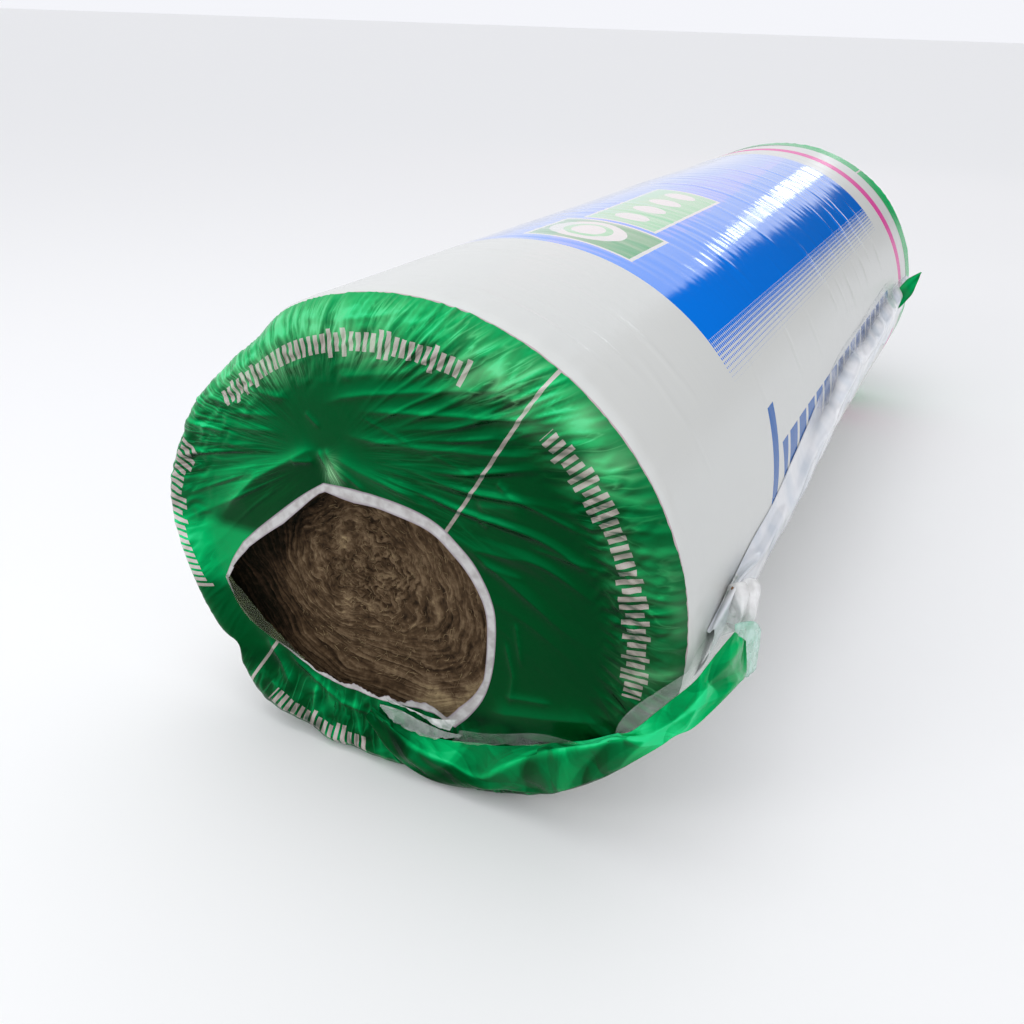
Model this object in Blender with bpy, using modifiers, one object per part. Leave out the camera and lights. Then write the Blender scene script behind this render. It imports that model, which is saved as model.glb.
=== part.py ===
"""A roll of mineral wool blanket in its shrunk film sleeve, lying on its side.

The roll's axis runs along Y and the floor is z = 0. The end with the loose flap of film is at -Y.
Metres throughout.
"""

import math

import bmesh
import bpy
from mathutils import Vector

# Driving sizes of the roll as it lies
roll_length = 1.200
half_width = 0.2206
widest_level = 0.1731
crown_height = 0.3925
underside_sag = 0.0064
underside_fullness = 2.2
rim_radius = 0.028

# Film
film_thickness = 0.0005
film_clearance = 0.0004
segments_round = 40
segments_in_rim = 3

# Mouth in the drawn-in film at each end: its outline as (x, z), round from the right
mouth_middle = (-0.045, 0.140)
mouth_outline = [
    (0.082, 0.151), (0.070, 0.191), (0.035, 0.226), (-0.013, 0.241), (-0.071, 0.236),
    (-0.137, 0.183), (-0.179, 0.126), (-0.156, 0.088), (-0.106, 0.067), (-0.040, 0.058),
    (0.025, 0.062), (0.046, 0.053), (0.068, 0.080), (0.080, 0.118),
]

# Wool
blanket_in_roll = 0.0140
groove_depth = 0.0035
core_offset = (-0.058, -0.027)
recess_depth = 0.020
recess_starts = 1.04
recess_full = 0.72

# Fin of the lengthwise weld, and the flap where it runs loose over the near end
fin_thickness = 0.0006
fin_stand = 0.005
fin_width = 0.032
fin_lean = 0.012
far_tip_reach = 0.014
far_tip_lift = 0.034
flap_root = [(0.183, 0.135), (0.163, 0.100), (0.121, 0.066), (0.070, 0.048), (0.020, 0.044), (-0.030, 0.046)]
flap_spread = [
    (0.067, 0.012, 0.030), (0.071, 0.014, 0.032), (0.067, 0.014, 0.018),
    (0.076, 0.013, -0.004), (0.085, 0.010, -0.014), (0.030, 0.005, -0.010),
]


def material_of(name, colour, roughness):
    """A Principled material with one colour (linear) and one roughness."""
    material = bpy.data.materials.new(name)
    material.use_nodes = True
    surface = material.node_tree.nodes["Principled BSDF"]
    surface.inputs["Base Color"].default_value = (*colour, 1.0)
    surface.inputs["Roughness"].default_value = roughness
    surface.inputs["Metallic"].default_value = 0.0
    return material


def collection_of(name):
    collection = bpy.data.collections.new(name)
    bpy.context.scene.collection.children.link(collection)
    return collection


def object_of(name, mesh_edit, collection):
    """An object from a finished bmesh, which is freed."""
    mesh = bpy.data.meshes.new(name)
    mesh_edit.to_mesh(mesh)
    mesh_edit.free()
    made = bpy.data.objects.new(name, mesh)
    collection.objects.link(made)
    return made


def signed_power(value, power):
    return math.copysign(abs(value) ** power, value)


def section_point(turn, inset):
    """The sagged section at a turn in radians from +X: round above, fuller below, flat where it rests."""
    rising = math.sin(turn) >= 0
    power = 1.0 if rising else 2.0 / underside_fullness
    reach = crown_height - widest_level if rising else widest_level + underside_sag
    across = (half_width - inset) * signed_power(math.cos(turn), power)
    level = widest_level + (reach - inset) * signed_power(math.sin(turn), power)
    return across, max(level, inset)


def ring(edit, y, points):
    return [edit.verts.new((x, y, z)) for x, z in points]


def bridge(edit, outer, inner):
    """Faces between two closed rings with the same count."""
    count = len(outer)
    for i in range(count):
        j = (i + 1) % count
        edit.faces.new((outer[i], outer[j], inner[j], inner[i]))


def section_ring(inset):
    return [section_point(2 * math.pi * i / segments_round, inset) for i in range(segments_round)]


def shell_rings(edit, inset):
    """The rings of half of the roll's skin, from its middle round the rim to the flat of the near end."""
    end = roll_length / 2 - inset
    radius = rim_radius - inset
    rings = [ring(edit, 0.0, section_ring(inset))]
    for step in range(segments_in_rim + 1):
        bend = math.pi / 2 * step / segments_in_rim
        depth = inset + radius * (1 - math.cos(bend))
        y = -(end - radius + radius * math.sin(bend))
        rings.append(ring(edit, y, section_ring(depth)))
    for first, second in zip(rings, rings[1:]):
        bridge(edit, first, second)
    return rings


def mouth_reach(x, z):
    """How far the mouth's outline lies from its middle, along the way to this point."""
    heading = math.atan2(z - mouth_middle[1], x - mouth_middle[0])
    corners = []
    for corner_x, corner_z in mouth_outline:
        away = Vector((corner_x - mouth_middle[0], corner_z - mouth_middle[1]))
        corners.append((math.atan2(away.y, away.x), away))
    corners.sort(key=lambda corner: corner[0])
    corners = [(corners[-1][0] - 2 * math.pi, corners[-1][1]), *corners]
    corners.append((corners[1][0] + 2 * math.pi, corners[1][1]))
    way = Vector((math.cos(heading), math.sin(heading)))
    for (low, start), (high, stop) in zip(corners, corners[1:]):
        if low <= heading <= high:
            side = stop - start
            return start.cross(side) / way.cross(side)
    return 0.0


def mouth_point(x, z):
    """The point of the mouth's outline that faces a point of the rim."""
    reach = mouth_reach(x, z)
    away = Vector((x - mouth_middle[0], z - mouth_middle[1])).normalized()
    return mouth_middle[0] + reach * away.x, mouth_middle[1] + reach * away.y


def mirror_to_far_end(made):
    mirror = made.modifiers.new("far_end", "MIRROR")
    mirror.use_axis = (False, True, False)
    mirror.use_clip = True
    mirror.merge_threshold = 0.0001


def film_sleeve(collection, helpers):
    """The printed film: a tube drawn in over both ends, with the fin of its lengthwise weld."""
    edit = bmesh.new()
    rings = shell_rings(edit, 0.0)
    flat = rings[-1]
    mouth = ring(edit, -roll_length / 2, [mouth_point(v.co.x, v.co.z) for v in flat])
    bridge(edit, flat, mouth)
    bmesh.ops.recalc_face_normals(edit, faces=edit.faces)
    sleeve = object_of("film_sleeve", edit, collection)
    mirror_to_far_end(sleeve)
    wall = sleeve.modifiers.new("film", "SOLIDIFY")
    wall.thickness = film_thickness
    wall.offset = -1.0
    wall.use_even_offset = True
    join = sleeve.modifiers.new("fin", "BOOLEAN")
    join.operation = "UNION"
    join.solver = "EXACT"
    join.object = fin_ribbon(helpers)
    sleeve.data.shade_smooth()
    sleeve.data.materials.append(material_of("printed_film", (0.02, 0.25, 0.06), 0.3))
    return sleeve


def fin_rows():
    """The fin as rows from its root inside the wall to its free edge, from the far end to the flap's tip."""
    middle_of_wall = film_thickness / 2
    straight = roll_length / 2 - rim_radius
    rows = []

    def add_row(root, out, edge):
        root = Vector(root)
        out = Vector(out)
        stand = root + out * fin_stand
        edge = Vector(edge)
        rows.append([root - out * middle_of_wall, stand, stand.lerp(edge, 0.5) + out * fin_stand / 2, edge])

    side = half_width
    fallen = widest_level - fin_width
    tip = (side + fin_lean + far_tip_reach, roll_length / 2, widest_level + far_tip_lift)
    add_row((side, straight, widest_level), (1, 0, 0), tip)
    for share in (0.90, 0.65, 0.35, 0.05, -0.25, -0.55, -0.85):
        add_row((side, straight * share, widest_level), (1, 0, 0), (side + fin_lean, straight * share, fallen))
    flap_rows = []
    for (x, z), (across, proud, rise) in zip(flap_root, flap_spread):
        root = Vector((x, -roll_length / 2, z))
        flap_rows.append((root, root + Vector((across, -proud, rise))))
    first_edge = Vector((side + fin_lean * 1.5, -straight, widest_level - fin_width / 3))
    for step in range(segments_in_rim + 1):
        bend = math.pi / 2 * step / segments_in_rim
        out = Vector((math.cos(bend), -math.sin(bend), 0))
        root = Vector((side - rim_radius, -straight, widest_level)) + out * rim_radius
        add_row(root, out, first_edge.lerp(flap_rows[0][1], step / (segments_in_rim + 1)))
    for root, edge in flap_rows:
        add_row(root, (0, -1, 0), edge)
    return rows


def fin_ribbon(helpers):
    """The two welded plies as one ribbon with its root in the wall, as a closed helper for the union."""
    edit = bmesh.new()
    rows = [[edit.verts.new(point) for point in row] for row in fin_rows()]
    for first, second in zip(rows, rows[1:]):
        for i in range(len(first) - 1):
            edit.faces.new((first[i], second[i], second[i + 1], first[i + 1]))
    ribbon = object_of("fin_ribbon", edit, helpers)
    plies = ribbon.modifiers.new("plies", "SOLIDIFY")
    plies.thickness = fin_thickness
    plies.offset = 0.0
    plies.use_even_offset = True
    ribbon.hide_render = True
    ribbon.display_type = "WIRE"
    return ribbon


def smooth_step(low, high, value):
    share = min(max((value - low) / (high - low), 0.0), 1.0)
    return share * share * (3 - 2 * share)


def glass_wool_roll(collection):
    """The wound blanket: one solid, with the spiral of its turns as a groove in both ends."""
    inset = film_thickness + film_clearance
    edit = bmesh.new()
    rings = shell_rings(edit, inset)
    rim = rings[-1]
    end = -(roll_length / 2 - inset)
    core = Vector((core_offset[0], widest_level + core_offset[1]))
    turns = round((half_width + crown_height / 2) / 2 / blanket_in_roll)
    last = 2 * turns - 3

    def end_point(i, j):
        share = (i / 2 + j / segments_round) / turns
        x = core.x + (rim[j].co.x - core.x) * share
        z = core.y + (rim[j].co.z - core.y) * share
        away = Vector((x - mouth_middle[0], z - mouth_middle[1])).length
        recess = recess_depth * smooth_step(recess_starts, recess_full, away / mouth_reach(x, z))
        groove = groove_depth if i % 2 else 0.0
        return edit.verts.new((x, end + recess + groove, z))

    spiral = [[end_point(i, j) for j in range(segments_round)] for i in range(last + 1)]
    for i in range(last):
        for j in range(segments_round - 1):
            edit.faces.new((spiral[i][j], spiral[i][j + 1], spiral[i + 1][j + 1], spiral[i + 1][j]))
    for i in range(last - 2):
        edit.faces.new((spiral[i][-1], spiral[i + 2][0], spiral[i + 3][0], spiral[i + 1][-1]))
    for j in range(segments_round - 1):
        edit.faces.new((spiral[last][j], spiral[last][j + 1], rim[j + 1], rim[j]))
    edit.faces.new((spiral[last][-1], rim[-1], rim[0], spiral[last][0], spiral[last - 2][-1], spiral[last - 1][-1]))
    edit.faces.new((*spiral[0], spiral[2][0], spiral[1][0]))
    bmesh.ops.recalc_face_normals(edit, faces=edit.faces)
    wool = object_of("glass_wool_roll", edit, collection)
    mirror_to_far_end(wool)
    wool.data.shade_smooth()
    wool.data.set_sharp_from_angle(angle=math.radians(35))
    wool.data.materials.append(material_of("glass_wool", (0.10, 0.07, 0.045), 0.95))
    return wool


for old in list(bpy.data.objects):
    bpy.data.objects.remove(old, do_unlink=True)
roll_parts = collection_of("insulation_roll")
helper_parts = collection_of("helpers")
helper_parts.hide_render = True
glass_wool_roll(roll_parts)
film_sleeve(roll_parts, helper_parts)
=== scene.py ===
import math

import bpy
import numpy as np
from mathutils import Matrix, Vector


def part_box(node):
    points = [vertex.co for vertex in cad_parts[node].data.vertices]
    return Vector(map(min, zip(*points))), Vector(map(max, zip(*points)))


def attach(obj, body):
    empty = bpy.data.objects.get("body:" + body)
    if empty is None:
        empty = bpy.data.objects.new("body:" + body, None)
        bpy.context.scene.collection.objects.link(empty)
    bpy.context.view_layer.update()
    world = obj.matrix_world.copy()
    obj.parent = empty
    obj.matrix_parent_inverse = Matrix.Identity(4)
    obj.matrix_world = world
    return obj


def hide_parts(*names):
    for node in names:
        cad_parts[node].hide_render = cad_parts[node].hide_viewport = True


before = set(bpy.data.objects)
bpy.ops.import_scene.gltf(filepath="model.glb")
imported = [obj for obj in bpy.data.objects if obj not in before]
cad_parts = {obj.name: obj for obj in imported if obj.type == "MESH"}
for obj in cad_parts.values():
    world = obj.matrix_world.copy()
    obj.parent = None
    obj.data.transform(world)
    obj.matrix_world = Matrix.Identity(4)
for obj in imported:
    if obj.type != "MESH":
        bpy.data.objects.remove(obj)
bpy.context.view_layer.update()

# A roll of mineral wool blanket in printed polyethylene film. Its axis is Y and the floor is z = 0.
# Sizes are metres, except where a name says Mm or Degrees.

filmGap = 0.0009            # film wall and the air to the wool, as between the two solids
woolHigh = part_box("glass_wool_roll")[1]
halfWidth = woolHigh[0] + filmGap
crownHeight = woolHigh[2] + filmGap
halfLength = woolHigh[1] + filmGap
roll = {
    "widestLevel": 0.1731,
    "undersideSag": 0.0064,
    "undersideFullness": 2.2,
    # rim radius by degrees round the section: rounder at the top right, sharp at the left and below
    "rimDegrees": [0, 60, 85, 104, 122, 138, 152, 180, 212, 240, 300, 330, 360],
    "rimRadii": [0.026, 0.028, 0.028, 0.026, 0.024, 0.019, 0.011, 0.006, 0.008, 0.007, 0.008, 0.018, 0.026],
    "girth": 1.33,          # used for print along the girth
    # dents (and, where the depth is negative, swellings) in the near rim: place (x, z), radius, depth
    "dents": [((-0.138, 0.346), 0.026, 0.0075), ((-0.178, 0.058), 0.011, 0.0090),
              ((-0.146, 0.018), 0.030, -0.0150), ((-0.165, 0.315), 0.030, 0.0055),
              ((-0.222, 0.190), 0.052, -0.0070)],
    "dentLength": 0.11,
}
fullTurn = 2 * math.pi

mouth = {
    "middle": (-0.045, 0.140),
    # outer edge of the white hem, round from the right; the third value is 1 at a sharp corner
    "outline": [
        (0.0790, 0.1513, 0), (0.0768, 0.1732, 0), (0.0690, 0.1911, 0), (0.0552, 0.2103, 0),
        (0.0350, 0.2264, 0), (0.0131, 0.2356, 0), (-0.0128, 0.2400, 0), (-0.0420, 0.2415, 0),
        (-0.0700, 0.2400, 1), (-0.0890, 0.2265, 0), (-0.1080, 0.2110, 0), (-0.1370, 0.1850, 0),
        (-0.1557, 0.1660, 1), (-0.1690, 0.1465, 0), (-0.1800, 0.1255, 1), (-0.1700, 0.1045, 0),
        (-0.1562, 0.0890, 0), (-0.1290, 0.0765, 0), (-0.1062, 0.0675, 0), (-0.0796, 0.0590, 0),
        (-0.0387, 0.0560, 0), (0.0006, 0.0575, 0), (0.0260, 0.0590, 0), (0.0458, 0.0530, 1),
        (0.0580, 0.0680, 0), (0.0702, 0.0906, 0), (0.0772, 0.1199, 0),
    ],
    "hemWidth": 0.0115,
    "sink": 0.006,              # how far the film lies back at the mouth
}
pinch = (-0.066, 0.264)     # where the film is nipped together above the mouth
farFlare = {"height": 0.0034, "along": (0.25, 0.56), "turn": 0.45}
uvRadius = 0.1              # turns are laid out as lengths at this radius


def smoothStep(low, high, value):
    share = np.clip((value - low) / (high - low), 0.0, 1.0)
    return share * share * (3 - 2 * share)


def mixed(a, b, share):
    return a + (b - a) * share


def latticeNoise(a, b, seed, wrap=0):
    # gradient noise, -1 to 1; wrap repeats it along the first axis
    a, b = np.broadcast_arrays(np.asarray(a, float), np.asarray(b, float))
    baseA, baseB = np.floor(a), np.floor(b)
    fracA, fracB = a - baseA, b - baseB

    def corner(stepA, stepB):
        i = (baseA + stepA).astype(np.int64)
        j = (baseB + stepB).astype(np.int64)
        if wrap:
            i = i % wrap
        bits = (i * 374761393 + j * 668265263 + seed * 974634777) & 0xFFFFFFFF
        bits = ((bits ^ (bits >> 13)) * 1274126177) & 0xFFFFFFFF
        angle = (bits ^ (bits >> 16)) / 4294967296.0 * fullTurn
        return np.cos(angle) * (fracA - stepA) + np.sin(angle) * (fracB - stepB)

    fadeA = fracA ** 3 * (fracA * (fracA * 6 - 15) + 10)
    fadeB = fracB ** 3 * (fracB * (fracB * 6 - 15) + 10)
    low = mixed(corner(0, 0), corner(1, 0), fadeA)
    high = mixed(corner(0, 1), corner(1, 1), fadeA)
    return mixed(low, high, fadeB) * 1.5


def layeredNoise(a, b, seed, layers=4, wrap=0):
    total, size = 0.0, 1.0
    for layer in range(layers):
        step = 2 ** layer
        total = total + size * latticeNoise(a * step, b * step, seed + layer, wrap * step)
        size *= 0.5
    return total


def crumple(a, b, seed, folds=7):
    # flat facets between sharp creases, from triangle waves in several directions, 0 to 1
    rng = np.random.default_rng(seed)
    bendA = a + 0.45 * latticeNoise(a * 0.7, b * 0.7, seed + 50)
    bendB = b + 0.45 * latticeNoise(a * 0.7, b * 0.7, seed + 51)
    total, weight = 0.0, 0.0
    for fold in range(folds):
        way = rng.uniform(0, math.pi)
        pitch = rng.uniform(0.6, 1.9)
        run = (bendA * math.cos(way) + bendB * math.sin(way)) / pitch + rng.uniform(0, 1)
        total = total + np.abs(2 * (run - np.floor(run + 0.5))) * pitch
        weight += pitch
    return total / weight


def signedPower(value, power):
    return np.sign(value) * np.abs(value) ** power


def rimRadiusAt(turn):
    return np.interp(np.degrees(turn) % 360, roll["rimDegrees"], roll["rimRadii"])


def straightAt(turn):
    # how far from the middle the film runs straight before the rim
    return halfLength - rimRadiusAt(turn)


def rimEndAt(turn):
    # distance along the film to where the rim meets the face
    return straightAt(turn) + rimRadiusAt(turn) * math.pi / 2


def sectionPoint(turn, inset):
    # the sagged section: round above, fuller below, flat where it rests
    rising = np.sin(turn) >= 0
    power = np.where(rising, 1.0, 2.0 / roll["undersideFullness"])
    reach = np.where(rising, crownHeight - roll["widestLevel"], roll["widestLevel"] + roll["undersideSag"])
    across = (halfWidth - inset) * signedPower(np.cos(turn), power)
    level = roll["widestLevel"] + (reach - inset) * signedPower(np.sin(turn), power)
    return across, np.maximum(level, inset)


def sectionNormal(turn):
    step = 1e-3
    x0, z0 = sectionPoint(turn - step, 0.0)
    x1, z1 = sectionPoint(turn + step, 0.0)
    size = np.hypot(x1 - x0, z1 - z0)
    return (z1 - z0) / size, -(x1 - x0) / size


def pressDents(points, swell=True):
    # the near rim is pushed in or swollen at a few places; the wool doesn't follow where the film swells
    for (dentX, dentZ), radius, depth in roll["dents"]:
        if depth < 0 and not swell:
            continue
        x, y, z = points[..., 0], points[..., 1], points[..., 2]
        off = np.hypot(x - dentX, z - dentZ) / radius
        up = z - roll["widestLevel"]
        size = np.hypot(x, up) + 1e-6
        outer = smoothStep(0.11, 0.16, size)
        nearness = smoothStep(roll["dentLength"] - halfLength, -halfLength, y)
        push = depth * np.exp(-off ** 2) * outer * nearness
        points = points - np.stack([push * x / size, 0 * push, push * up / size], -1)
    return points


def mouthTrace():
    # the mouth's outline as headings and reaches from its middle
    corners = mouth["outline"]
    count, steps, straightness = len(corners), 8, 0.9
    traced = []
    for i in range(count):
        before, start, stop, after = (np.array(corners[(i + k) % count][:2]) for k in (-1, 0, 1, 2))
        slopeStart = (stop - start) * straightness if corners[i][2] else (stop - before) / 2
        slopeStop = (stop - start) * straightness if corners[(i + 1) % count][2] else (after - start) / 2
        for share in np.linspace(0, 1, steps, endpoint=False):
            s2, s3 = share ** 2, share ** 3
            traced.append((2 * s3 - 3 * s2 + 1) * start + (s3 - 2 * s2 + share) * slopeStart
                          + (3 * s2 - 2 * s3) * stop + (s3 - s2) * slopeStop)
    traced = np.array(traced) - mouth["middle"]
    heading = np.arctan2(traced[:, 1], traced[:, 0])
    order = np.argsort(heading)
    return heading[order], np.hypot(traced[:, 0], traced[:, 1])[order]


traceHeading, traceReach = mouthTrace()


def mouthReach(x, z):
    # distance from the mouth's middle to its outline, in the direction of each point
    return np.interp(np.arctan2(z - mouth["middle"][1], x - mouth["middle"][0]), traceHeading, traceReach,
                     period=fullTurn)


def mouthShare(x, z):
    # 1 on the mouth's outline, less inside it
    return np.hypot(x - mouth["middle"][0], z - mouth["middle"][1]) / mouthReach(x, z)


def filmSink(share):
    return mouth["sink"] * smoothStep(1.9, 1.0, share)


def gridMesh(name, points, uv=None, values=None, closed=True, flip=False, capped=False):
    # a mesh from rows of points; uv has one more column than a closed grid, where it meets itself
    rows, cols = points.shape[:2]
    across = cols if closed else cols - 1
    r, c = np.meshgrid(np.arange(rows - 1), np.arange(across), indexing="ij")
    nextC = (c + 1) % cols
    quads = np.stack([r * cols + c, r * cols + nextC, (r + 1) * cols + nextC, (r + 1) * cols + c], -1)
    if flip:
        quads = quads[..., ::-1]
    quads = quads.reshape(-1, 4)
    if capped:
        # ends of a flat tube, joined front to back
        k = np.arange(cols // 2 - 1)
        for base, turned in ((0, flip), ((rows - 1) * cols, not flip)):
            cap = base + np.stack([k, cols - 1 - k, cols - 2 - k, k + 1], -1)
            quads = np.concatenate([quads, cap[:, ::-1] if turned else cap])
    mesh = bpy.data.meshes.new(name)
    mesh.vertices.add(rows * cols)
    mesh.vertices.foreach_set("co", points.reshape(-1).astype(np.float32))
    mesh.loops.add(quads.size)
    mesh.loops.foreach_set("vertex_index", quads.reshape(-1).astype(np.int32))
    mesh.polygons.add(len(quads))
    mesh.polygons.foreach_set("loop_start", np.arange(0, quads.size, 4, dtype=np.int32))
    mesh.polygons.foreach_set("use_smooth", np.ones(len(quads), bool))
    mesh.update(calc_edges=True)
    if uv is not None:
        corners = np.stack([uv[r, c], uv[r, c + 1], uv[r + 1, c + 1], uv[r + 1, c]], 2)
        if flip:
            corners = corners[:, :, ::-1]
        corners = corners.reshape(-1, 2)
        corners = np.concatenate([corners, np.zeros((quads.size - len(corners), 2))])
        layer = mesh.uv_layers.new(name="filmMetres")
        layer.data.foreach_set("uv", corners.reshape(-1).astype(np.float32))
    return placed(name, mesh, values or {})


def placed(name, mesh, values):
    # the mesh with its tones and masks, as an object in the scene
    for key, value in values.items():
        layer = mesh.attributes.new(key, "FLOAT", "POINT")
        layer.data.foreach_set("value", value.reshape(-1).astype(np.float32))
    made = bpy.data.objects.new(name, mesh)
    bpy.context.scene.collection.objects.link(made)
    return made


def dress(piece, material, slot, *nodes):
    piece.data.materials.append(material)
    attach(piece, "root")
    if nodes:
        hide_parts(*nodes)


def smoothCurve(knots, count):
    # a Catmull-Rom run through rows of knots, at even shares of their number
    knots = np.asarray(knots, float)
    last = len(knots) - 1
    place = np.linspace(0, last, count)
    i = np.minimum(place.astype(int), last - 1)
    s = (place - i).reshape((-1,) + (1,) * (knots.ndim - 1))
    p0, p1, p2, p3 = (knots[np.clip(i + k, 0, last)] for k in (-1, 0, 1, 2))
    return 0.5 * (2 * p1 + (p2 - p0) * s + (2 * p0 - 5 * p1 + 4 * p2 - p3) * s ** 2
                  + (3 * p1 - p0 - 3 * p2 + p3) * s ** 3)


def gridNormals(points):
    alongRows, alongCols = np.gradient(points, axis=0), np.gradient(points, axis=1)
    normal = np.cross(alongRows, alongCols)
    return normal / (np.linalg.norm(normal, axis=-1, keepdims=True) + 1e-12)


def filmRibbon(name, points, values, thickness):
    # loose film: a front and a back skin, closed all round
    normal = gridNormals(points)
    front, back = points + normal * thickness / 2, points - normal * thickness / 2
    closedPoints = np.concatenate([front, back[:, ::-1]], 1)
    closedValues = {key: np.concatenate([value, value[:, ::-1]], 1) for key, value in values.items()}
    rows, cols = closedPoints.shape[:2]
    uv = np.zeros((rows, cols + 1, 2))
    uv[..., 0] = np.linspace(0, 0.3, rows)[:, None]
    return gridMesh(name, closedPoints, uv, closedValues, capped=True, flip=True)


def linear(hexColour):
    # sRGB hex to linear light
    parts = [int(hexColour[i:i + 2], 16) / 255 for i in (1, 3, 5)]
    return tuple(p / 12.92 if p <= 0.04045 else ((p + 0.055) / 1.055) ** 2.4 for p in parts) + (1.0,)


def addNode(tree, kind, inputs=(), output=0, **settings):
    # one shader node with its settings and inputs; sockets are linked and numbers set; returns an output
    made = tree.nodes.new("ShaderNode" + kind)
    for key, value in settings.items():
        setattr(made, key, value)
    for key, term in (inputs.items() if isinstance(inputs, dict) else enumerate(inputs)):
        if isinstance(term, bpy.types.NodeSocket):
            tree.links.new(term, made.inputs[key])
        else:
            made.inputs[key].default_value = term
    return made.outputs[output]


def newMaterial(name, roughness, **levels):
    # levels are the shader's own constants, by a short name
    names = {"ior": "IOR", "specular": "Specular IOR Level", "tint": "Specular Tint", "alpha": "Alpha",
             "coatRoughness": "Coat Roughness"}
    material = bpy.data.materials.new(name)
    material.use_nodes = True
    surface = material.node_tree.nodes["Principled BSDF"]
    surface.inputs["Roughness"].default_value = roughness
    for key, value in levels.items():
        surface.inputs[names[key]].default_value = value
    return material, material.node_tree, surface


def setStops(ramp, stops, stepped=False):
    # colour ramp stops: each a place, and a hex colour or a level from 0 to 1
    stops = [(place, linear(c) if isinstance(c, str) else (c, c, c, 1.0)) for place, c in stops]
    band = ramp.node.color_ramp
    band.interpolation = "CONSTANT" if stepped else "LINEAR"
    band.elements[0].position, band.elements[0].color = stops[0]
    band.elements[1].position, band.elements[1].color = stops[-1]
    for place, colour in stops[1:-1]:
        band.elements.new(place).color = colour
    return ramp


black, full = (0.0, 0.0, 0.0, 1.0), (1.0, 1.0, 1.0, 1.0)
# a mix of colours has its factor, two colours and result at sockets 0, 6, 7 and 2
mixNode, asColour = "Mix", {"output": 2, "data_type": "RGBA"}

print("1 camera, floor and light")

camera = {
    "place": (0.34908, -1.13628, 0.55345), "turnDegrees": (63.537, -1.738, 26.577),
    "lensMm": 34.49, "sensorMm": 36.0,
}
studio = {
    "floorSide": 600.0, "floorColour": "#f6f6f5", "worldColour": "#f9faff", "worldStrength": 0.96,
    "shade": 0.015,             # light left in the dark part of the studio, behind and right of the roll
    "shadeToward": (0.489, 0.847, 0.208), "shadeEdge": (0.893, 0.908),
    "horizonFade": (0.012, 0.036),
    "floorDrop": 0.0004,        # the floor lies this far under the roll
}

cameraData = bpy.data.cameras.new("photoCamera")
cameraData.lens = camera["lensMm"]
cameraData.sensor_width = camera["sensorMm"]
cameraData.clip_end = studio["floorSide"]
cameraObject = bpy.data.objects.new("photoCamera", cameraData)
cameraObject.location = camera["place"]
cameraObject.rotation_euler = [math.radians(a) for a in camera["turnDegrees"]]
bpy.context.scene.collection.objects.link(cameraObject)
bpy.context.scene.camera = cameraObject
bpy.context.scene.view_settings.view_transform = "Standard"


def makeStudioWorld():
    # an even pale surround with one dim side, so that the print on the side away from it stays pure
    spec = studio
    world = bpy.data.worlds.new("paleStudio")
    world.use_nodes = True
    tree = world.node_tree
    outward = addNode(tree, "TexCoord", output="Generated")
    toward = addNode(tree, "VectorMath", [outward, spec["shadeToward"]], "Value",
                     operation="DOT_PRODUCT")
    side = addNode(tree, "MapRange",
                   {0: toward, 1: spec["shadeEdge"][0], 2: spec["shadeEdge"][1]},
                   interpolation_type="SMOOTHSTEP")
    level = addNode(tree, "SeparateXYZ", [outward]).node.outputs[2]
    fadeLow, fadeHigh = spec["horizonFade"]
    above = addNode(tree, "MapRange", {0: level, 1: fadeLow, 2: fadeHigh})
    shade = addNode(tree, "Math", [side, above], operation="MULTIPLY")
    strength = addNode(tree, "MapRange", {0: shade, 3: spec["worldStrength"], 4: spec["shade"]})
    background = tree.nodes["Background"]
    background.inputs["Color"].default_value = linear(spec["worldColour"])
    tree.links.new(strength, background.inputs["Strength"])
    bpy.context.scene.world = world


makeStudioWorld()

# name, place, aim, size across and up, power in watts, colour
softBoxes = [
    ("overheadSoftBox", (-0.3, -0.5, 2.3), (0.0, -0.2, 0.2), (1.6, 1.2), 8.0, "#ffffff"),
    ("frontLeftSoftBox", (-1.5, -3.0, 2.0), (-0.05, -0.5, 0.2), (1.2, 0.8), 15.0, "#ffffff"),
    ("rearStripOne", (-0.06, 4.05, 1.32), (0.08, 0.1, 0.37), (0.30, 0.16), 0.50, "#ffffff"),
    ("rearStripTwo", (0.10, 3.76, 1.54), (0.10, -0.1, 0.36), (0.22, 0.12), 0.32, "#ffffff"),
    ("rearRosePanel", (-1.10, 3.70, 1.46), (0.0, 0.0, 0.38), (1.25, 0.85), 0.50, "#ff6c78"),
]
for boxName, place, aim, (wide, tall), power, colour in softBoxes:
    light = bpy.data.lights.new(boxName, "AREA")
    light.shape = "RECTANGLE"
    light.size, light.size_y, light.energy = wide, tall, power
    light.color = linear(colour)[:3]
    lamp = bpy.data.objects.new(boxName, light)
    lamp.visible_camera = False
    lamp.location = place
    awayX, awayY, awayZ = np.array(place) - np.array(aim)
    tilt = math.atan2(math.hypot(awayX, awayY), awayZ)
    lamp.rotation_euler = (tilt, 0, math.atan2(awayX, -awayY))
    bpy.context.scene.collection.objects.link(lamp)

half = studio["floorSide"] / 2
floorCorners = np.array([[(-half, -half, 0), (half, -half, 0)], [(-half, half, 0), (half, half, 0)]])
floor = gridMesh("studioFloor", floorCorners - (0, 0, studio["floorDrop"]), closed=False)
floorPaint, _, floorSurface = newMaterial("mattPaleFloor", 0.9, specular=0.05)
floorSurface.inputs["Base Color"].default_value = linear(studio["floorColour"])
floor.data.materials.append(floorPaint)

print("2 film over the ends")

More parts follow.
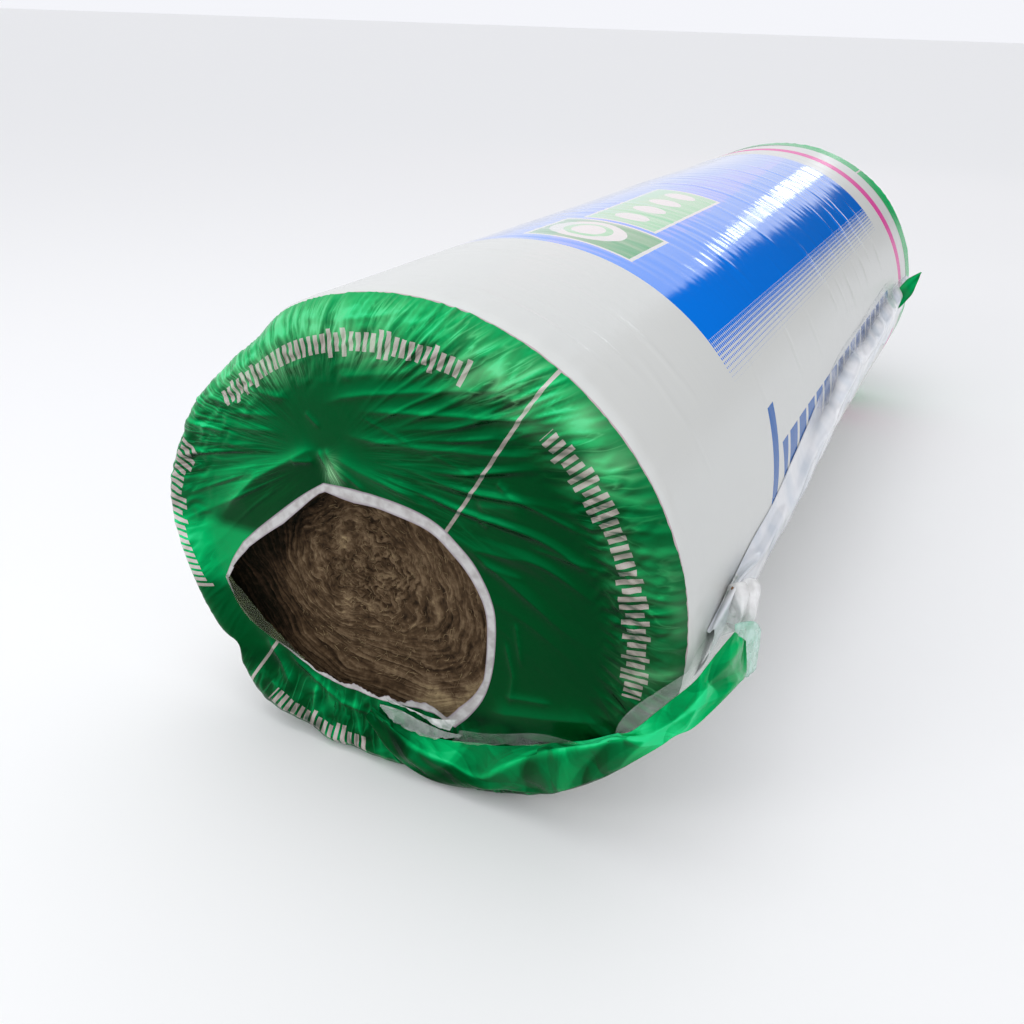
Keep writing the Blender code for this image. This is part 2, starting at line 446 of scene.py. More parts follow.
printFace = 0.616               # where the print on the film passes from the rim to the face
nearEnd = {
    "columns": 780,
    "printEdge": 0.586,         # where green print meets white, measured along the film
    "rowsOverRim": 24,
    "rowsOnFace": 94,
    "rowsInHem": 9,
    "fanFolds": 46,             # folds round a full turn about the pinch
    "fanHeight": 0.0034,
    "gathers": 118,
    "gatherHeight": 0.0026,
    "crumpleSize": 0.030,
    "crumpleHeight": 0.0075,
    "bulge": 0.0080,            # slack film under the mouth
    "ringShift": 0.0065,        # how much further out the ring of marks lies at the left
    "tearHeight": 0.0038,       # how ragged the cut edge is
    "seed": 11,
}
# folds listed one by one: points (x, z) along each, then width mm and height mm
handFolds = [
    ([(-0.140, 0.306), (-0.089, 0.304)], 3.2, 2.0),
    ([(-0.180, 0.292), (-0.115, 0.294)], 3.2, 1.6),
    ([(-0.170, 0.283), (-0.101, 0.288)], 3.4, 2.2),
    ([(-0.190, 0.266), (-0.101, 0.276)], 4.4, 2.4),
    ([(-0.190, 0.250), (-0.120, 0.262)], 4.0, 1.2),
    ([(-0.068, 0.268), (-0.082, 0.264), (-0.108, 0.247), (-0.134, 0.230), (-0.160, 0.202),
      (-0.173, 0.185)], 5.5, 4.2),
    ([(-0.066, 0.304), (-0.045, 0.314), (-0.025, 0.320), (0.040, 0.335), (0.097, 0.346),
      (0.120, 0.348)], 3.4, 2.4),
    ([(-0.035, 0.305), (-0.003, 0.311), (0.030, 0.316), (0.091, 0.325), (0.148, 0.336)], 3.4, 2.8),
    ([(-0.050, 0.284), (-0.019, 0.285), (0.019, 0.288), (0.073, 0.296), (0.125, 0.305)], 4.0, 2.4),
    ([(-0.050, 0.329), (-0.018, 0.336), (0.020, 0.345)], 4.5, 1.6),
    ([(-0.031, 0.302), (0.019, 0.2865)], 1.6, 0.7),
    ([(0.019, 0.2865), (0.077, 0.271)], 2.2, 0.7),
    ([(-0.080, 0.296), (-0.067, 0.285)], 1.8, 1.0),
    ([(-0.066, 0.270), (-0.052, 0.249), (-0.045, 0.242)], 3.0, 2.6),
    ([(-0.072, 0.268), (-0.063, 0.252), (-0.062, 0.240)], 3.0, 2.6),
    ([(-0.058, 0.258), (-0.040, 0.246), (-0.030, 0.240)], 2.2, 1.4),
    ([(-0.062, 0.266), (-0.036, 0.257), (-0.005, 0.250), (0.020, 0.246)], 7.0, 2.6),
    ([(-0.097, 0.253), (-0.084, 0.2545), (-0.075, 0.257)], 2.0, 1.5),
    ([(0.077, 0.271), (0.112, 0.262), (0.151, 0.252)], 2.2, 1.3),
    ([(0.060, 0.252), (0.101, 0.262)], 9.0, 1.8),
    ([(0.062, 0.243), (0.072, 0.238)], 2.0, 1.2),
    ([(0.078, 0.275), (0.087, 0.270)], 2.0, 1.2),
    ([(0.102, 0.232), (0.171, 0.230)], 2.6, 1.0),
    ([(0.063, 0.207), (0.103, 0.204)], 3.0, 0.9),
    ([(0.129, 0.313), (0.150, 0.316), (0.168, 0.322)], 3.4, 2.4),
    ([(0.150, 0.295), (0.186, 0.296)], 3.6, 2.0),
    ([(-0.056, 0.367), (-0.015, 0.376), (0.020, 0.384)], 3.0, 1.8),
    ([(-0.030, 0.380), (-0.014, 0.388)], 3.4, 2.0),
    ([(0.086, 0.150), (0.094, 0.118), (0.092, 0.090)], 2.0, 1.2),
    ([(0.094, 0.168), (0.101, 0.128)], 1.8, 1.1),
    ([(0.070, 0.078), (0.120, 0.092), (0.175, 0.110)], 9.0, 2.4),
    ([(0.100, 0.066), (0.128, 0.074), (0.168, 0.084)], 4.0, 2.0),
    ([(0.086, 0.098), (0.130, 0.108)], 3.0, 1.2),
    ([(-0.141, 0.078), (-0.105, 0.040)], 4.0, 2.2),
    ([(-0.086, 0.052), (-0.082, 0.012)], 3.6, 2.0),
    ([(-0.015, 0.044), (0.012, 0.020)], 4.4, 3.0),
    ([(-0.120, 0.070), (-0.060, 0.044), (-0.020, 0.040)], 3.0, 2.0),
]


def filmRows(along, turn, side):
    # points and outward normals for rows of distances along the film from the middle
    radius, straight = rimRadiusAt(turn), straightAt(turn)
    normalX, normalZ = sectionNormal(turn)
    bend = np.clip((along - straight) / radius, 0, math.pi / 2)
    y = np.minimum(along, straight) + radius * np.sin(bend)
    # the film stands a little fuller at the far end, at the right and above it
    facing = np.clip(np.cos(turn - farFlare["turn"]), 0, 1)
    flare = farFlare["height"] * smoothStep(*farFlare["along"], along) * np.clip(side, 0, 1) * facing
    x, z = sectionPoint(np.broadcast_to(turn, bend.shape), radius * (1 - np.cos(bend)) - flare)
    return (np.stack([x, side * y, z], -1),
            np.stack([normalX * np.cos(bend), side * np.sin(bend), normalZ * np.cos(bend)], -1))


def filmUv(turn, along):
    # metres round the girth and along the film, with one more column where the film meets itself
    around = np.repeat((turn / fullTurn * roll["girth"])[None, :], len(along), 0)
    uv = np.stack([around, along], -1)
    return np.concatenate([uv, uv[:, :1] + (roll["girth"], 0)], 1)


def fromPinch(x, z):
    # heading and distance of each point from the pinch
    fromX, fromZ = x - pinch[0], z - pinch[1]
    return np.arctan2(fromZ, fromX), np.hypot(fromX, fromZ)


def endGrid(spec, side, hemShare):
    # the film from the print's edge over the rim and across the face to its free edge at the mouth
    columns = spec["columns"]
    turn = fullTurn * np.arange(columns) / columns
    rimEnd = rimEndAt(turn)
    rimShares = np.linspace(0, 1, spec["rowsOverRim"])[:, None]
    rimAlong = mixed(spec["printEdge"], rimEnd[None, :], rimShares)
    points, normals = filmRows(rimAlong, turn, side)
    ring = points[-1]
    midX, midZ = mouth["middle"]
    spoke = np.stack([ring[:, 0] - midX, ring[:, 2] - midZ], -1)
    spokeLength = np.hypot(spoke[:, 0], spoke[:, 1])
    spoke = spoke / spokeLength[:, None]
    toMouth = spokeLength - mouthReach(ring[:, 0], ring[:, 2])
    hemWidth = mouth["hemWidth"] * hemShare(np.degrees(np.arctan2(spoke[:, 1], spoke[:, 0])))
    inward = [toMouth * s for s in np.linspace(0, 1, spec["rowsOnFace"] + 1)[1:]]
    inward += [toMouth + hemWidth * s for s in np.linspace(0, 1, spec["rowsInHem"] + 1)[1:]]
    inward = np.array(inward)
    at = spokeLength - inward
    flat = np.full(at.shape, side * halfLength)
    face = np.stack([midX + spoke[:, 0] * at, flat, midZ + spoke[:, 1] * at], -1)
    faceNormal = np.zeros(face.shape)
    faceNormal[..., 1] = side
    onFace = np.concatenate([rimAlong - rimEnd, inward])
    # print is laid as if the rim were even all round
    printed = np.concatenate([mixed(spec["printEdge"], printFace, np.repeat(rimShares, columns, 1)),
                              printFace + inward])
    hem = np.zeros(onFace.shape)
    hem[-spec["rowsInHem"]:] = np.linspace(0, 1, spec["rowsInHem"] + 1)[1:][:, None]
    return np.concatenate([points, face]), np.concatenate([normals, faceNormal]), turn, onFace, printed, hem


def foldHeight(x, z, fold):
    # a soft ridge along a bent line, tapering to its ends
    knots, widthMm, heightMm = fold
    knots = np.array(knots)
    steps = np.hypot(*np.diff(knots, axis=0).T)
    total, run = steps.sum(), 0.0
    near = np.full(x.shape, 1.0)
    share = np.zeros(x.shape)
    for (startX, startZ), (stopX, stopZ), step in zip(knots[:-1], knots[1:], steps):
        dirX, dirZ = (stopX - startX) / step, (stopZ - startZ) / step
        place = np.clip((x - startX) * dirX + (z - startZ) * dirZ, 0, step)
        off = np.hypot(x - startX - dirX * place, z - startZ - dirZ * place)
        closer = off < near
        near = np.where(closer, off, near)
        share = np.where(closer, (run + place) / total, share)
        run += step
    taper = smoothStep(0.0, 0.18, share) * smoothStep(1.0, 0.72, share)
    return heightMm / 1000 * taper * np.exp(-(near / (widthMm / 1000)) ** 1.15)


def endRelief(x, z, onFace, spec, laidFolds):
    # how far the film stands out from the plain end, and the shares of its kinds of fold
    seed = spec["seed"]
    heading, away = fromPinch(x, z)
    turns = heading / fullTurn
    degrees = np.degrees(heading)
    fans = np.exp(-((np.abs(degrees) - 176) / 34) ** 2) + np.exp(-((degrees - 4) / 36) ** 2)
    wander = 0.30 * latticeNoise(x * 12, z * 12, seed + 9)
    fan = latticeNoise(turns * spec["fanFolds"] + wander, away * 6, seed, spec["fanFolds"])
    fan = np.clip(1 - np.abs(fan) * 2.6, 0, 1) ** 1.5
    patchy = smoothStep(-0.30, 0.30, latticeNoise(x * 11, z * 11, seed + 4))
    reach = smoothStep(0.030, 0.11, away) * smoothStep(-0.022, 0.020, onFace)
    reach = reach * smoothStep(0.2, 0.12, away - 0.05)
    folds = spec["fanHeight"] * fan * reach * (fans + 0.03) * (0.25 + 0.75 * patchy)
    rimward = smoothStep(-0.052, -0.022, onFace) * smoothStep(0.040, 0.002, onFace)
    count = spec["gathers"]
    fine = latticeNoise(turns * count + wander * 2, away * 20, seed + 20, count)
    finer = latticeNoise(turns * count * 2 + wander * 3, away * 36, seed + 21, count * 2)
    gathered = np.clip(1 - np.abs(fine) * 2.1, 0, 1) + 0.45 * np.clip(1 - np.abs(finer) * 2.0, 0, 1)
    strength = 0.30 + 0.70 * smoothStep(-0.3, 0.4, latticeNoise(x * 15, z * 15, seed + 5))
    strength = strength * smoothStep(0.03, 0.12, z) * (1 - 0.75 * smoothStep(-0.08, -0.17, x))
    gathers = spec["gatherHeight"] * gathered * rimward * strength
    below = smoothStep(0.085, 0.050, z + 0.12 * np.clip(-x - 0.06, 0, 1)) * smoothStep(-0.020, 0.004, onFace)
    below = below * smoothStep(0.20, 0.13, x)
    crumpleX, crumpleZ = x / spec["crumpleSize"], z / spec["crumpleSize"]
    crumpled = 0.7 * crumple(crumpleX, crumpleZ, seed + 30)
    crumpled = crumpled + 0.3 * crumple(crumpleX * 2.6, crumpleZ * 2.6, seed + 31)
    crumples = spec["crumpleHeight"] * (crumpled - 0.35) * below
    slack = smoothStep(0.075, 0.015, z) * smoothStep(-0.165, -0.11, x) * smoothStep(0.045, -0.02, x)
    crumples += spec["bulge"] * slack * smoothStep(-0.010, 0.004, onFace)
    ridges = sum(foldHeight(x, z, fold) for fold in laidFolds) * smoothStep(-0.03, -0.005, onFace)
    swell = 0.0016 * latticeNoise(x * 8, z * 8, seed + 40) * smoothStep(0.0, 0.03, onFace)
    creases = 0.0004 * (crumple(x * 40, z * 40, seed + 33, 5) - 0.5) * smoothStep(0.0, 0.02, onFace)
    # short irregular creases just inside the rim above
    inRim = smoothStep(-0.026, -0.010, onFace) * smoothStep(0.046, 0.016, onFace) * smoothStep(0.13, 0.22, z)
    creases = creases + 0.0026 * (crumple(x * 120, z * 120, seed + 34, 5) - 0.4) * inRim
    return folds + gathers + crumples + ridges + swell + creases, folds, gathers, crumpled * below, ridges


def nearHem(degrees):
    # the hem is wide above and right of the mouth, and rolled under below it
    return np.interp(degrees, [-180, -165, -140, -60, -50, -35, -15, 30, 88, 108, 122, 140, 170, 180],
                     [0.50, 0.30, 0.34, 0.42, 0.92, 1.00, 0.44, 0.80, 1.00, 0.55, 0.75, 0.90, 0.70, 0.50])


def makeNearEnd(material):
    spec = nearEnd
    points, normals, turn, onFace, printed, hem = endGrid(spec, -1, nearHem)
    # the ring of marks lies further out at the left, partly round the rim
    printed = printed + spec["ringShift"] * np.exp(-((np.degrees(turn) - 178) / 26) ** 2)
    x, z = points[..., 0].copy(), points[..., 2].copy()
    relief, folds, gathers, crumpled, ridges = endRelief(x, z, onFace, spec, handFolds)
    # the slope of the relief up and down, used below for painted shading
    step = 0.0012
    lower, upper = (endRelief(x, z + shift, onFace, spec, handFolds)[0] for shift in (-step, step))
    facingUp = (lower - upper) / (2 * step)
    heading = np.degrees(np.arctan2(z - mouth["middle"][1], x - mouth["middle"][0]))
    # the film sinks towards the mouth; its hem lifts a little and is ragged where it was cut below
    sink = filmSink(mouthShare(x, z)) * smoothStep(0.0, 0.03, onFace)
    curl = hem * (0.0020 + 0.0015 * latticeNoise(heading / 17, 0.3, 77))
    below = smoothStep(-140, -120, heading) * smoothStep(-38, -50, heading)
    frayed = latticeNoise(heading / 9.0, 1.7, 91) + 0.4 * latticeNoise(heading / 2.2, 1.7, 92)
    height = relief * (1 - hem * 0.8) - sink + curl
    points = points + normals * height[..., None]
    points[..., 2] += hem * below * spec["tearHeight"] * frayed
    points = pressDents(points)
    points[..., 2] = np.maximum(points[..., 2], 0.0)
    # tone: 0 where one ply stands over dark wool, 1 where it is gathered; much of it is painted light and
    # shade: a lit rim and top, a lit left fan, shade to the right and below, lit and shaded facets, and
    # highlights on fold crests and on slopes that face up
    rim = smoothStep(0.006, -0.012, onFace)
    litLeftFan = np.exp(-((x + 0.19) / 0.10) ** 2 - ((z - 0.20) / 0.12) ** 2)
    # painted shade and light on the facets beside the ridge that runs down left from the pinch: shaded above
    # the mouth, lit beyond it
    ridgeX = np.interp(z, [0.150, 0.185, 0.202, 0.230, 0.247, 0.264],
                       [-0.190, -0.176, -0.162, -0.136, -0.110, -0.070])
    paintedFacetShade = smoothStep(0.000, 0.008, x - ridgeX) * smoothStep(-0.066, -0.074, x)
    paintedFacetShade = paintedFacetShade * smoothStep(0.262, 0.252, z) * smoothStep(0.170, 0.184, z)
    paintedFacetLight = smoothStep(0.004, -0.006, x - ridgeX) * smoothStep(-0.060, -0.012, x - ridgeX)
    paintedFacetLight = 0.5 * paintedFacetLight * smoothStep(0.262, 0.225, z) * smoothStep(0.165, 0.185, z)
    paintedFacetLight += smoothStep(0.186, 0.172, z) * smoothStep(0.112, 0.130, z) * smoothStep(-0.115, -0.140, x)
    # painted light and shade: lighter at the left, at the top and along the rim, darker to the right and
    # towards the bottom
    tone = 0.25 - 0.10 * smoothStep(-0.02, 0.16, x) - 0.08 * smoothStep(0.12, 0.03, z)
    tone += (0.18 + 0.18 * smoothStep(0.16, 0.34, z)) * rim + 0.08 * litLeftFan
    tone += 0.36 * paintedFacetLight - 0.14 * paintedFacetShade + 0.14 * smoothStep(0.29, 0.37, z)
    # painted highlights on the crests of folds, gathers and laid ridges and on crumple ridges, and painted
    # shading by slope: lighter where the film faces up, darker where it faces down
    tone += 14 * folds + 30 * gathers * smoothStep(0.05, 0.25, z) + 62 * ridges
    tone += 0.40 * np.clip(facingUp, -1.0, 1.6)
    tone += (crumpled - 0.42) * 0.45 * smoothStep(0.0, 0.2, crumpled)
    # pale crest where the film is nipped together at the pinch
    crestAndSheen = np.exp(-((x + 0.060) / 0.006) ** 2 - ((z - 0.250) / 0.010) ** 2)
    # finer folds and creases show along the rim, in the fans at both sides and in the slack film below, as
    # bumps and as painted highlights in the tone
    heading, away = fromPinch(x, z)
    degrees = np.degrees(heading)
    sideways = np.exp(-((np.abs(degrees) - 172) / 40) ** 2) + 0.7 * np.exp(-((degrees - 2) / 30) ** 2)
    patchy = smoothStep(-0.35, 0.35, latticeNoise(x * 24, z * 24, spec["seed"] + 60))
    edge = smoothStep(-0.028, -0.014, onFace) * smoothStep(0.036, 0.006, onFace)
    fan = smoothStep(0.025, 0.060, away) * smoothStep(0.185, 0.10, away) * sideways
    crinkle = edge * (0.40 + 0.60 * patchy) * smoothStep(0.10, 0.18, z) + 0.02
    crinkle += 0.45 * fan * smoothStep(0.19, 0.23, z) + 0.85 * smoothStep(0.07, 0.04, z) + 0.8 * crestAndSheen
    # painted sheen: where the folds are gathered at the rim, above and at the right, they are painted whitish
    # as if they caught the light
    gloss = smoothStep(-0.040, -0.016, onFace) * smoothStep(0.034, 0.004, onFace) * (0.25 + 0.75 * patchy)
    above, beside = smoothStep(0.27, 0.33, z), smoothStep(0.14, 0.19, x) * smoothStep(0.10, 0.16, z)
    crestAndSheen = np.maximum(crestAndSheen, gloss * (0.36 * above + 0.24 * beside))
    values = {"filmTone": np.clip(tone, 0, 1.3), "hem": hem, "crestAndSheen": crestAndSheen,
              "crinkle": np.clip(crinkle, 0, 1) * (1 - hem),
              "fanAround": (heading + math.pi / 2) % fullTurn * uvRadius, "fanAway": away}
    made = gridMesh("film_near_end", points, filmUv(turn, -printed), values)
    dress(made, material, "printed_film", "film_sleeve")


# green flexo print on polyethylene film: saturated ink under a clear gloss, dark where one ply stands over the
# wool, bright where plies gather; the tone that picks the green also carries painted light and shade; the gaps
# in the print show greyish film
greenPrint = {
    "tones": [(0.0, "#001f08"), (0.22, "#003f17"), (0.42, "#01602f"), (0.64, "#028a48"), (0.82, "#05b060"),
              (1.0, "#2bd485")],
    "bareTones": [(0.0, "#46594e"), (0.16, "#7d766f"), (0.35, "#a39892"), (1.0, "#dcd3d0")],
    # crest colour: the nipped film at the pinch, and the painted sheen on the gathered rim folds
    "hem": [(0.38, "#aca7a6"), (0.58, "#c3c1c0")], "hemEdge": "#958991", "crestAndSheen": "#9ed8a2",
    "hemEdgeStops": [(0.0, 1.0), (0.13, 1.0), (0.22, 0.0), (0.80, 0.0), (1.0, 1.0)],
    "markPitchMm": 6.8, "markGapMm": 1.35, "markBand": (0.6160, 0.6295), "tallBand": (0.6130, 0.6335),
    "tallAbove": 0.66,          # a mark whose own random tone passes this is a tall one
    # lengths of the ring that carry marks, in degrees round the section
    "markGroups": [(0, 51), (71, 141), (158, 198), (234, 262), (348, 360)],
    "seams": [((0.1108, 0.3513), (0.0385, 0.2300)), ((-0.1295, 0.0764), (-0.1530, 0.0372))],
    "seamWidthMm": 2.8, "grainMm": 9.0,
    # fine folds that fan out from the pinch, and short creases: width and length mm, detail, bending; along
    # them the tone is raised as a painted highlight
    "folds": (11.0, 100.0, 1.0, 0.3), "creases": (4.0, 34.0, 2.0, 0.5),
    "foldStops": [(0.30, 0.0), (0.44, 0.30), (0.50, 1.0), (0.57, 0.30), (0.70, 0.0)],
    "creaseShare": 0.70, "foldHighlightGain": 0.56, "foldLevel": 0.34,
}


def greenPrintFilm():
    spec = greenPrint
    material, tree, surface = newMaterial("greenPrintedPolyethylene", 0.18, ior=1.51, specular=0.09,
                                          tint=(0.04, 1.0, 0.50, 1.0))
    maths = "Math"
    uvMap = addNode(tree, "UVMap", uv_map="filmMetres")
    around, along = addNode(tree, "SeparateXYZ", [uvMap]).node.outputs[:2]
    along = addNode(tree, maths, [along], operation="ABSOLUTE")
    place = addNode(tree, "TexCoord", output="Object")
    tone, hem, crestAndSheen, crinkle, fanAround, fanAway = (
        addNode(tree, "Attribute", output="Fac", attribute_name=name)
        for name in ("filmTone", "hem", "crestAndSheen", "crinkle", "fanAround", "fanAway"))
    fan = addNode(tree, "CombineXYZ", [fanAround, fanAway, 0.0])
    laid = []
    for wideMm, longMm, detail, bending in (spec["folds"], spec["creases"]):
        noise = addNode(tree, "Mapping",
                        {"Vector": fan, "Scale": (1000 / wideMm, 1000 / longMm, 1.0)})
        noise = addNode(tree, "TexNoise",
                        {"Vector": noise, "Scale": 1.0, "Detail": detail, "Distortion": bending})
        laid.append(setStops(addNode(tree, "ValToRGB", [noise]), spec["foldStops"]))
    creases = addNode(tree, maths, [laid[1], spec["creaseShare"]], operation="MULTIPLY")
    folds = addNode(tree, maths, [laid[0], creases], operation="MAXIMUM")
    # painted highlight: the tone is raised along the fine folds and creases where the crinkle mask allows
    lift = addNode(tree, maths, [folds, spec["foldLevel"]], operation="SUBTRACT")
    lift = addNode(tree, maths, [lift, crinkle], operation="MULTIPLY")
    tone = addNode(tree, maths, [lift, spec["foldHighlightGain"], tone], operation="MULTIPLY_ADD")
    ink, bare = (setStops(addNode(tree, "ValToRGB", [tone]), spec[key])
                 for key in ("tones", "bareTones"))
    # a plain ring of short and tall marks in groups
    bricks = addNode(tree, "TexBrick",
                     {"Vector": uvMap, "Color1": black, "Color2": full, "Scale": 1.0, "Bias": 0.0,
                      "Mortar Size": spec["markGapMm"] / 1000, "Mortar Smooth": 0.0,
                      "Brick Width": spec["markPitchMm"] / 1000, "Row Height": 8.0}).node
    short, tall = (addNode(tree, maths, [along, (start + stop) / 2, (stop - start) / 2], operation="COMPARE")
                   for start, stop in (spec["markBand"], spec["tallBand"]))
    isTall = addNode(tree, maths, [bricks.outputs[0], spec["tallAbove"]], operation="GREATER_THAN")
    tall = addNode(tree, maths, [tall, isTall], operation="MULTIPLY")
    marks = addNode(tree, maths, [short, tall], operation="MAXIMUM")
    marks = addNode(tree, maths, [marks, bricks.outputs[1]], operation="SUBTRACT", use_clamp=True)
    ring = addNode(tree, maths, [around, roll["girth"]], operation="DIVIDE")
    stops = [(edge / 360, level) for pair in spec["markGroups"] for edge, level in zip(pair, (1.0, 0.0))]
    groups = setStops(addNode(tree, "ValToRGB", [ring]), stops, stepped=True)
    marks = addNode(tree, maths, [marks, groups], operation="MULTIPLY")
    # gaps between repeats of the print: straight lines on the face
    for (x0, z0), (x1, z1) in spec["seams"]:
        size = math.hypot(x1 - x0, z1 - z0)
        across = ((z1 - z0) / size, 0.0, (x0 - x1) / size)
        run = ((x1 - x0) / size, 0.0, (z1 - z0) / size)
        off = addNode(tree, "VectorMath", [place, across], "Value", operation="DOT_PRODUCT")
        offset = x0 * across[0] + z0 * across[2]
        line = addNode(tree, maths, [off, offset, spec["seamWidthMm"] / 2000], operation="COMPARE")
        reach = addNode(tree, "VectorMath", [place, run], "Value", operation="DOT_PRODUCT")
        middle = (x0 + x1) / 2 * run[0] + (z0 + z1) / 2 * run[2]
        within = addNode(tree, maths, [reach, middle, size / 2 + 0.02], operation="COMPARE")
        line = addNode(tree, maths, [line, within], operation="MULTIPLY")
        marks = addNode(tree, maths, [marks, line], operation="MAXIMUM")
    # pale crest on the folds: nipped film at the pinch, and painted sheen on the gathered rim folds
    nipped = addNode(tree, maths, [crestAndSheen, folds], operation="MULTIPLY")
    grain = addNode(tree, "TexNoise",
                    {"Vector": place, "Scale": 1000 / spec["grainMm"], "Detail": 4.0})
    # the hem is unprinted, darker and mauve along its start and its cut edge
    hemGrain = setStops(addNode(tree, "ValToRGB", [grain]), spec["hem"])
    hemEdge = setStops(addNode(tree, "ValToRGB", [hem]), spec["hemEdgeStops"])
    hemColour = addNode(tree, mixNode, {0: hemEdge, 6: hemGrain, 7: linear(spec["hemEdge"])}, **asColour)
    atHem = addNode(tree, maths, [hem, 0.06], operation="GREATER_THAN")
    colour = ink
    for mask, over in ((marks, bare), (nipped, linear(spec["crestAndSheen"])), (atHem, hemColour)):
        colour = addNode(tree, mixNode, {0: mask, 6: colour, 7: over}, **asColour)
    tree.links.new(colour, surface.inputs["Base Color"])
    raised = addNode(tree, maths, [folds, crinkle], operation="MULTIPLY")
    height = addNode(tree, maths, [grain, 0.35, raised], operation="MULTIPLY_ADD")
    bump = addNode(tree, "Bump", {"Height": height, "Strength": 0.40, "Distance": 0.0020})
    tree.links.new(bump, surface.inputs["Normal"])
    return material


greenFilm = greenPrintFilm()
makeNearEnd(greenFilm)

farEnd = {
    "columns": 320, "printEdge": 0.535, "rowsOverRim": 20, "rowsOnFace": 70, "rowsInHem": 5,
    "fanFolds": 30, "fanHeight": 0.0036, "gathers": 84, "gatherHeight": 0.0022,
    "crumpleSize": 0.032, "crumpleHeight": 0.0050, "bulge": 0.0, "hemShare": 0.8, "seed": 47,
}


def makeFarEnd(material):
    spec = farEnd
    points, normals, turn, onFace, printed, hem = endGrid(spec, 1, lambda degrees: spec["hemShare"])
    x, z = points[..., 0].copy(), points[..., 2].copy()
    relief, folds, gathers, crumpled, ridges = endRelief(x, z, onFace, spec, handFolds[:6])
    sink = filmSink(mouthShare(x, z)) * smoothStep(0.0, 0.03, onFace)
    # painted highlights: lighter over the rim, on the crests of folds, gathers and ridges, and on crumple
    # ridges
    tone = 0.30 + 0.52 * smoothStep(0.012, -0.012, onFace) + 20 * folds + 40 * gathers + 34 * ridges
    tone += (crumpled - 0.42) * 0.55 * smoothStep(0.0, 0.2, crumpled)
    points = points + normals * (relief * (1 - hem * 0.8) - sink + hem * 0.002)[..., None]
    points[..., 2] = np.maximum(points[..., 2], 0.0)
    heading, away = fromPinch(x, z)
    edge = smoothStep(-0.030, -0.016, onFace) * smoothStep(0.060, 0.010, onFace)
    values = {"filmTone": np.clip(tone, 0, 1.3), "hem": hem, "crestAndSheen": 0 * hem,
              "crinkle": np.clip(edge * 0.8 + 0.3, 0, 1) * (1 - hem) * smoothStep(-0.06, -0.03, onFace),
              "fanAround": (heading + math.pi / 2) % fullTurn * uvRadius, "fanAway": away}
    made = gridMesh("film_far_end", points, filmUv(turn, printed), values, flip=True)
    dress(made, material, "printed_film", "film_sleeve")


makeFarEnd(greenFilm)

print("3 film round the roll")

body = {
    "columns": 320, "rows": 300, "tuck": 0.0004, "tuckLength": 0.005,
    "rippleLengthMm": 9.0, "rippleAroundMm": 170.0, "rippleHeight": 0.00034, "swellHeight": 0.0007,
    "overlap": 0.003,           # how far this film runs on under the green ends
    "arcWidth": 0.0026, "seed": 71,
    # arcs where the film is creased round the girth: middle turn, reach in degrees, place along, height mm
    "arcs": [(74, 26, -0.548, 1.0), (66, 20, -0.520, 0.9), (60, 24, -0.470, 1.0), (40, 16, -0.500, 0.6),
             (84, 22, -0.436, 0.5), (30, 14, -0.330, 0.4), (36, 18, -0.110, 0.5), (34, 16, 0.060, 0.6),
             (40, 20, 0.170, 0.6), (70, 22, 0.250, 0.7), (78, 20, 0.190, 0.6), (72, 18, 0.110, 0.6),
             (82, 24, 0.020, 0.7), (66, 16, -0.060, 0.5), (88, 22, -0.150, 0.5), (64, 16, -0.210, 0.6),
             (38, 14, 0.010, 1.0), (34, 16, 0.110, 1.1), (38, 18, 0.215, 1.2), (42, 16, 0.270, 1.1),
             (36, 18, 0.330, 1.0), (32, 12, -0.200, 0.9)],
}


def makeBody(material):
    spec, seed = body, body["seed"]
    nearEdge, farEdge = -(nearEnd["printEdge"] + spec["overlap"]), farEnd["printEdge"] + spec["overlap"]
    stations = np.linspace(nearEdge, farEdge, spec["rows"])
    turn = fullTurn * np.arange(spec["columns"]) / spec["columns"]
    points, normals = filmRows(np.abs(stations)[:, None], turn, np.where(stations < 0, -1, 1)[:, None])
    u = np.repeat((turn / fullTurn)[None, :], len(stations), 0)
    v = np.repeat(stations[:, None], spec["columns"], 1)
    around = int(round(roll["girth"] * 1000 / spec["rippleAroundMm"]))
    slow = latticeNoise(u * 5, v * 3.2, seed + 3, 5)
    length = spec["rippleLengthMm"] / 1000
    ripple = latticeNoise(u * around, v / length + slow * 2.5, seed, around)
    finer = latticeNoise(u * around * 3, v / length * 2.2 + slow * 5, seed + 1, around * 3)
    calm = 0.25 + 0.75 * smoothStep(-0.3, 0.4, latticeNoise(u * 7, v * 6, seed + 2, 7))
    calm = calm * (0.30 + 0.70 * smoothStep(52, 66, u * 360) * smoothStep(300, 200, u * 360))
    height = spec["rippleHeight"] * (ripple + 0.35 * finer) * calm
    for middle, reach, place, heightMm in spec["arcs"]:
        share = (u * 360 - middle) / reach
        wander = 0.002 * latticeNoise(u * 60, 0.5, int(middle * 7 + place * 100))
        off = (v - (place + 0.006 * share ** 2 + wander)) / spec["arcWidth"]
        height = height + heightMm / 1000 * np.exp(-off ** 2) * np.clip(1 - share ** 2, 0, 1)
    height = height + spec["swellHeight"] * latticeNoise(u * 9, v * 5, seed + 7, 9)
    nearRim = smoothStep(nearEdge + 0.07, nearEdge, v)
    height = height + 0.0007 * latticeNoise(u * 120, v * 20, seed + 5, 120) * nearRim ** 2
    tucked = np.maximum(smoothStep(nearEdge + spec["tuckLength"], nearEdge, v),
                        smoothStep(farEdge - spec["tuckLength"], farEdge, v))
    height = height * (1 - tucked) - spec["tuck"] * tucked
    points = pressDents(points + normals * height[..., None])
    points[..., 2] = np.maximum(points[..., 2], 0.0)
    made = gridMesh("film_body", points, filmUv(turn, v), flip=True)
    dress(made, material, "printed_film", "film_sleeve")


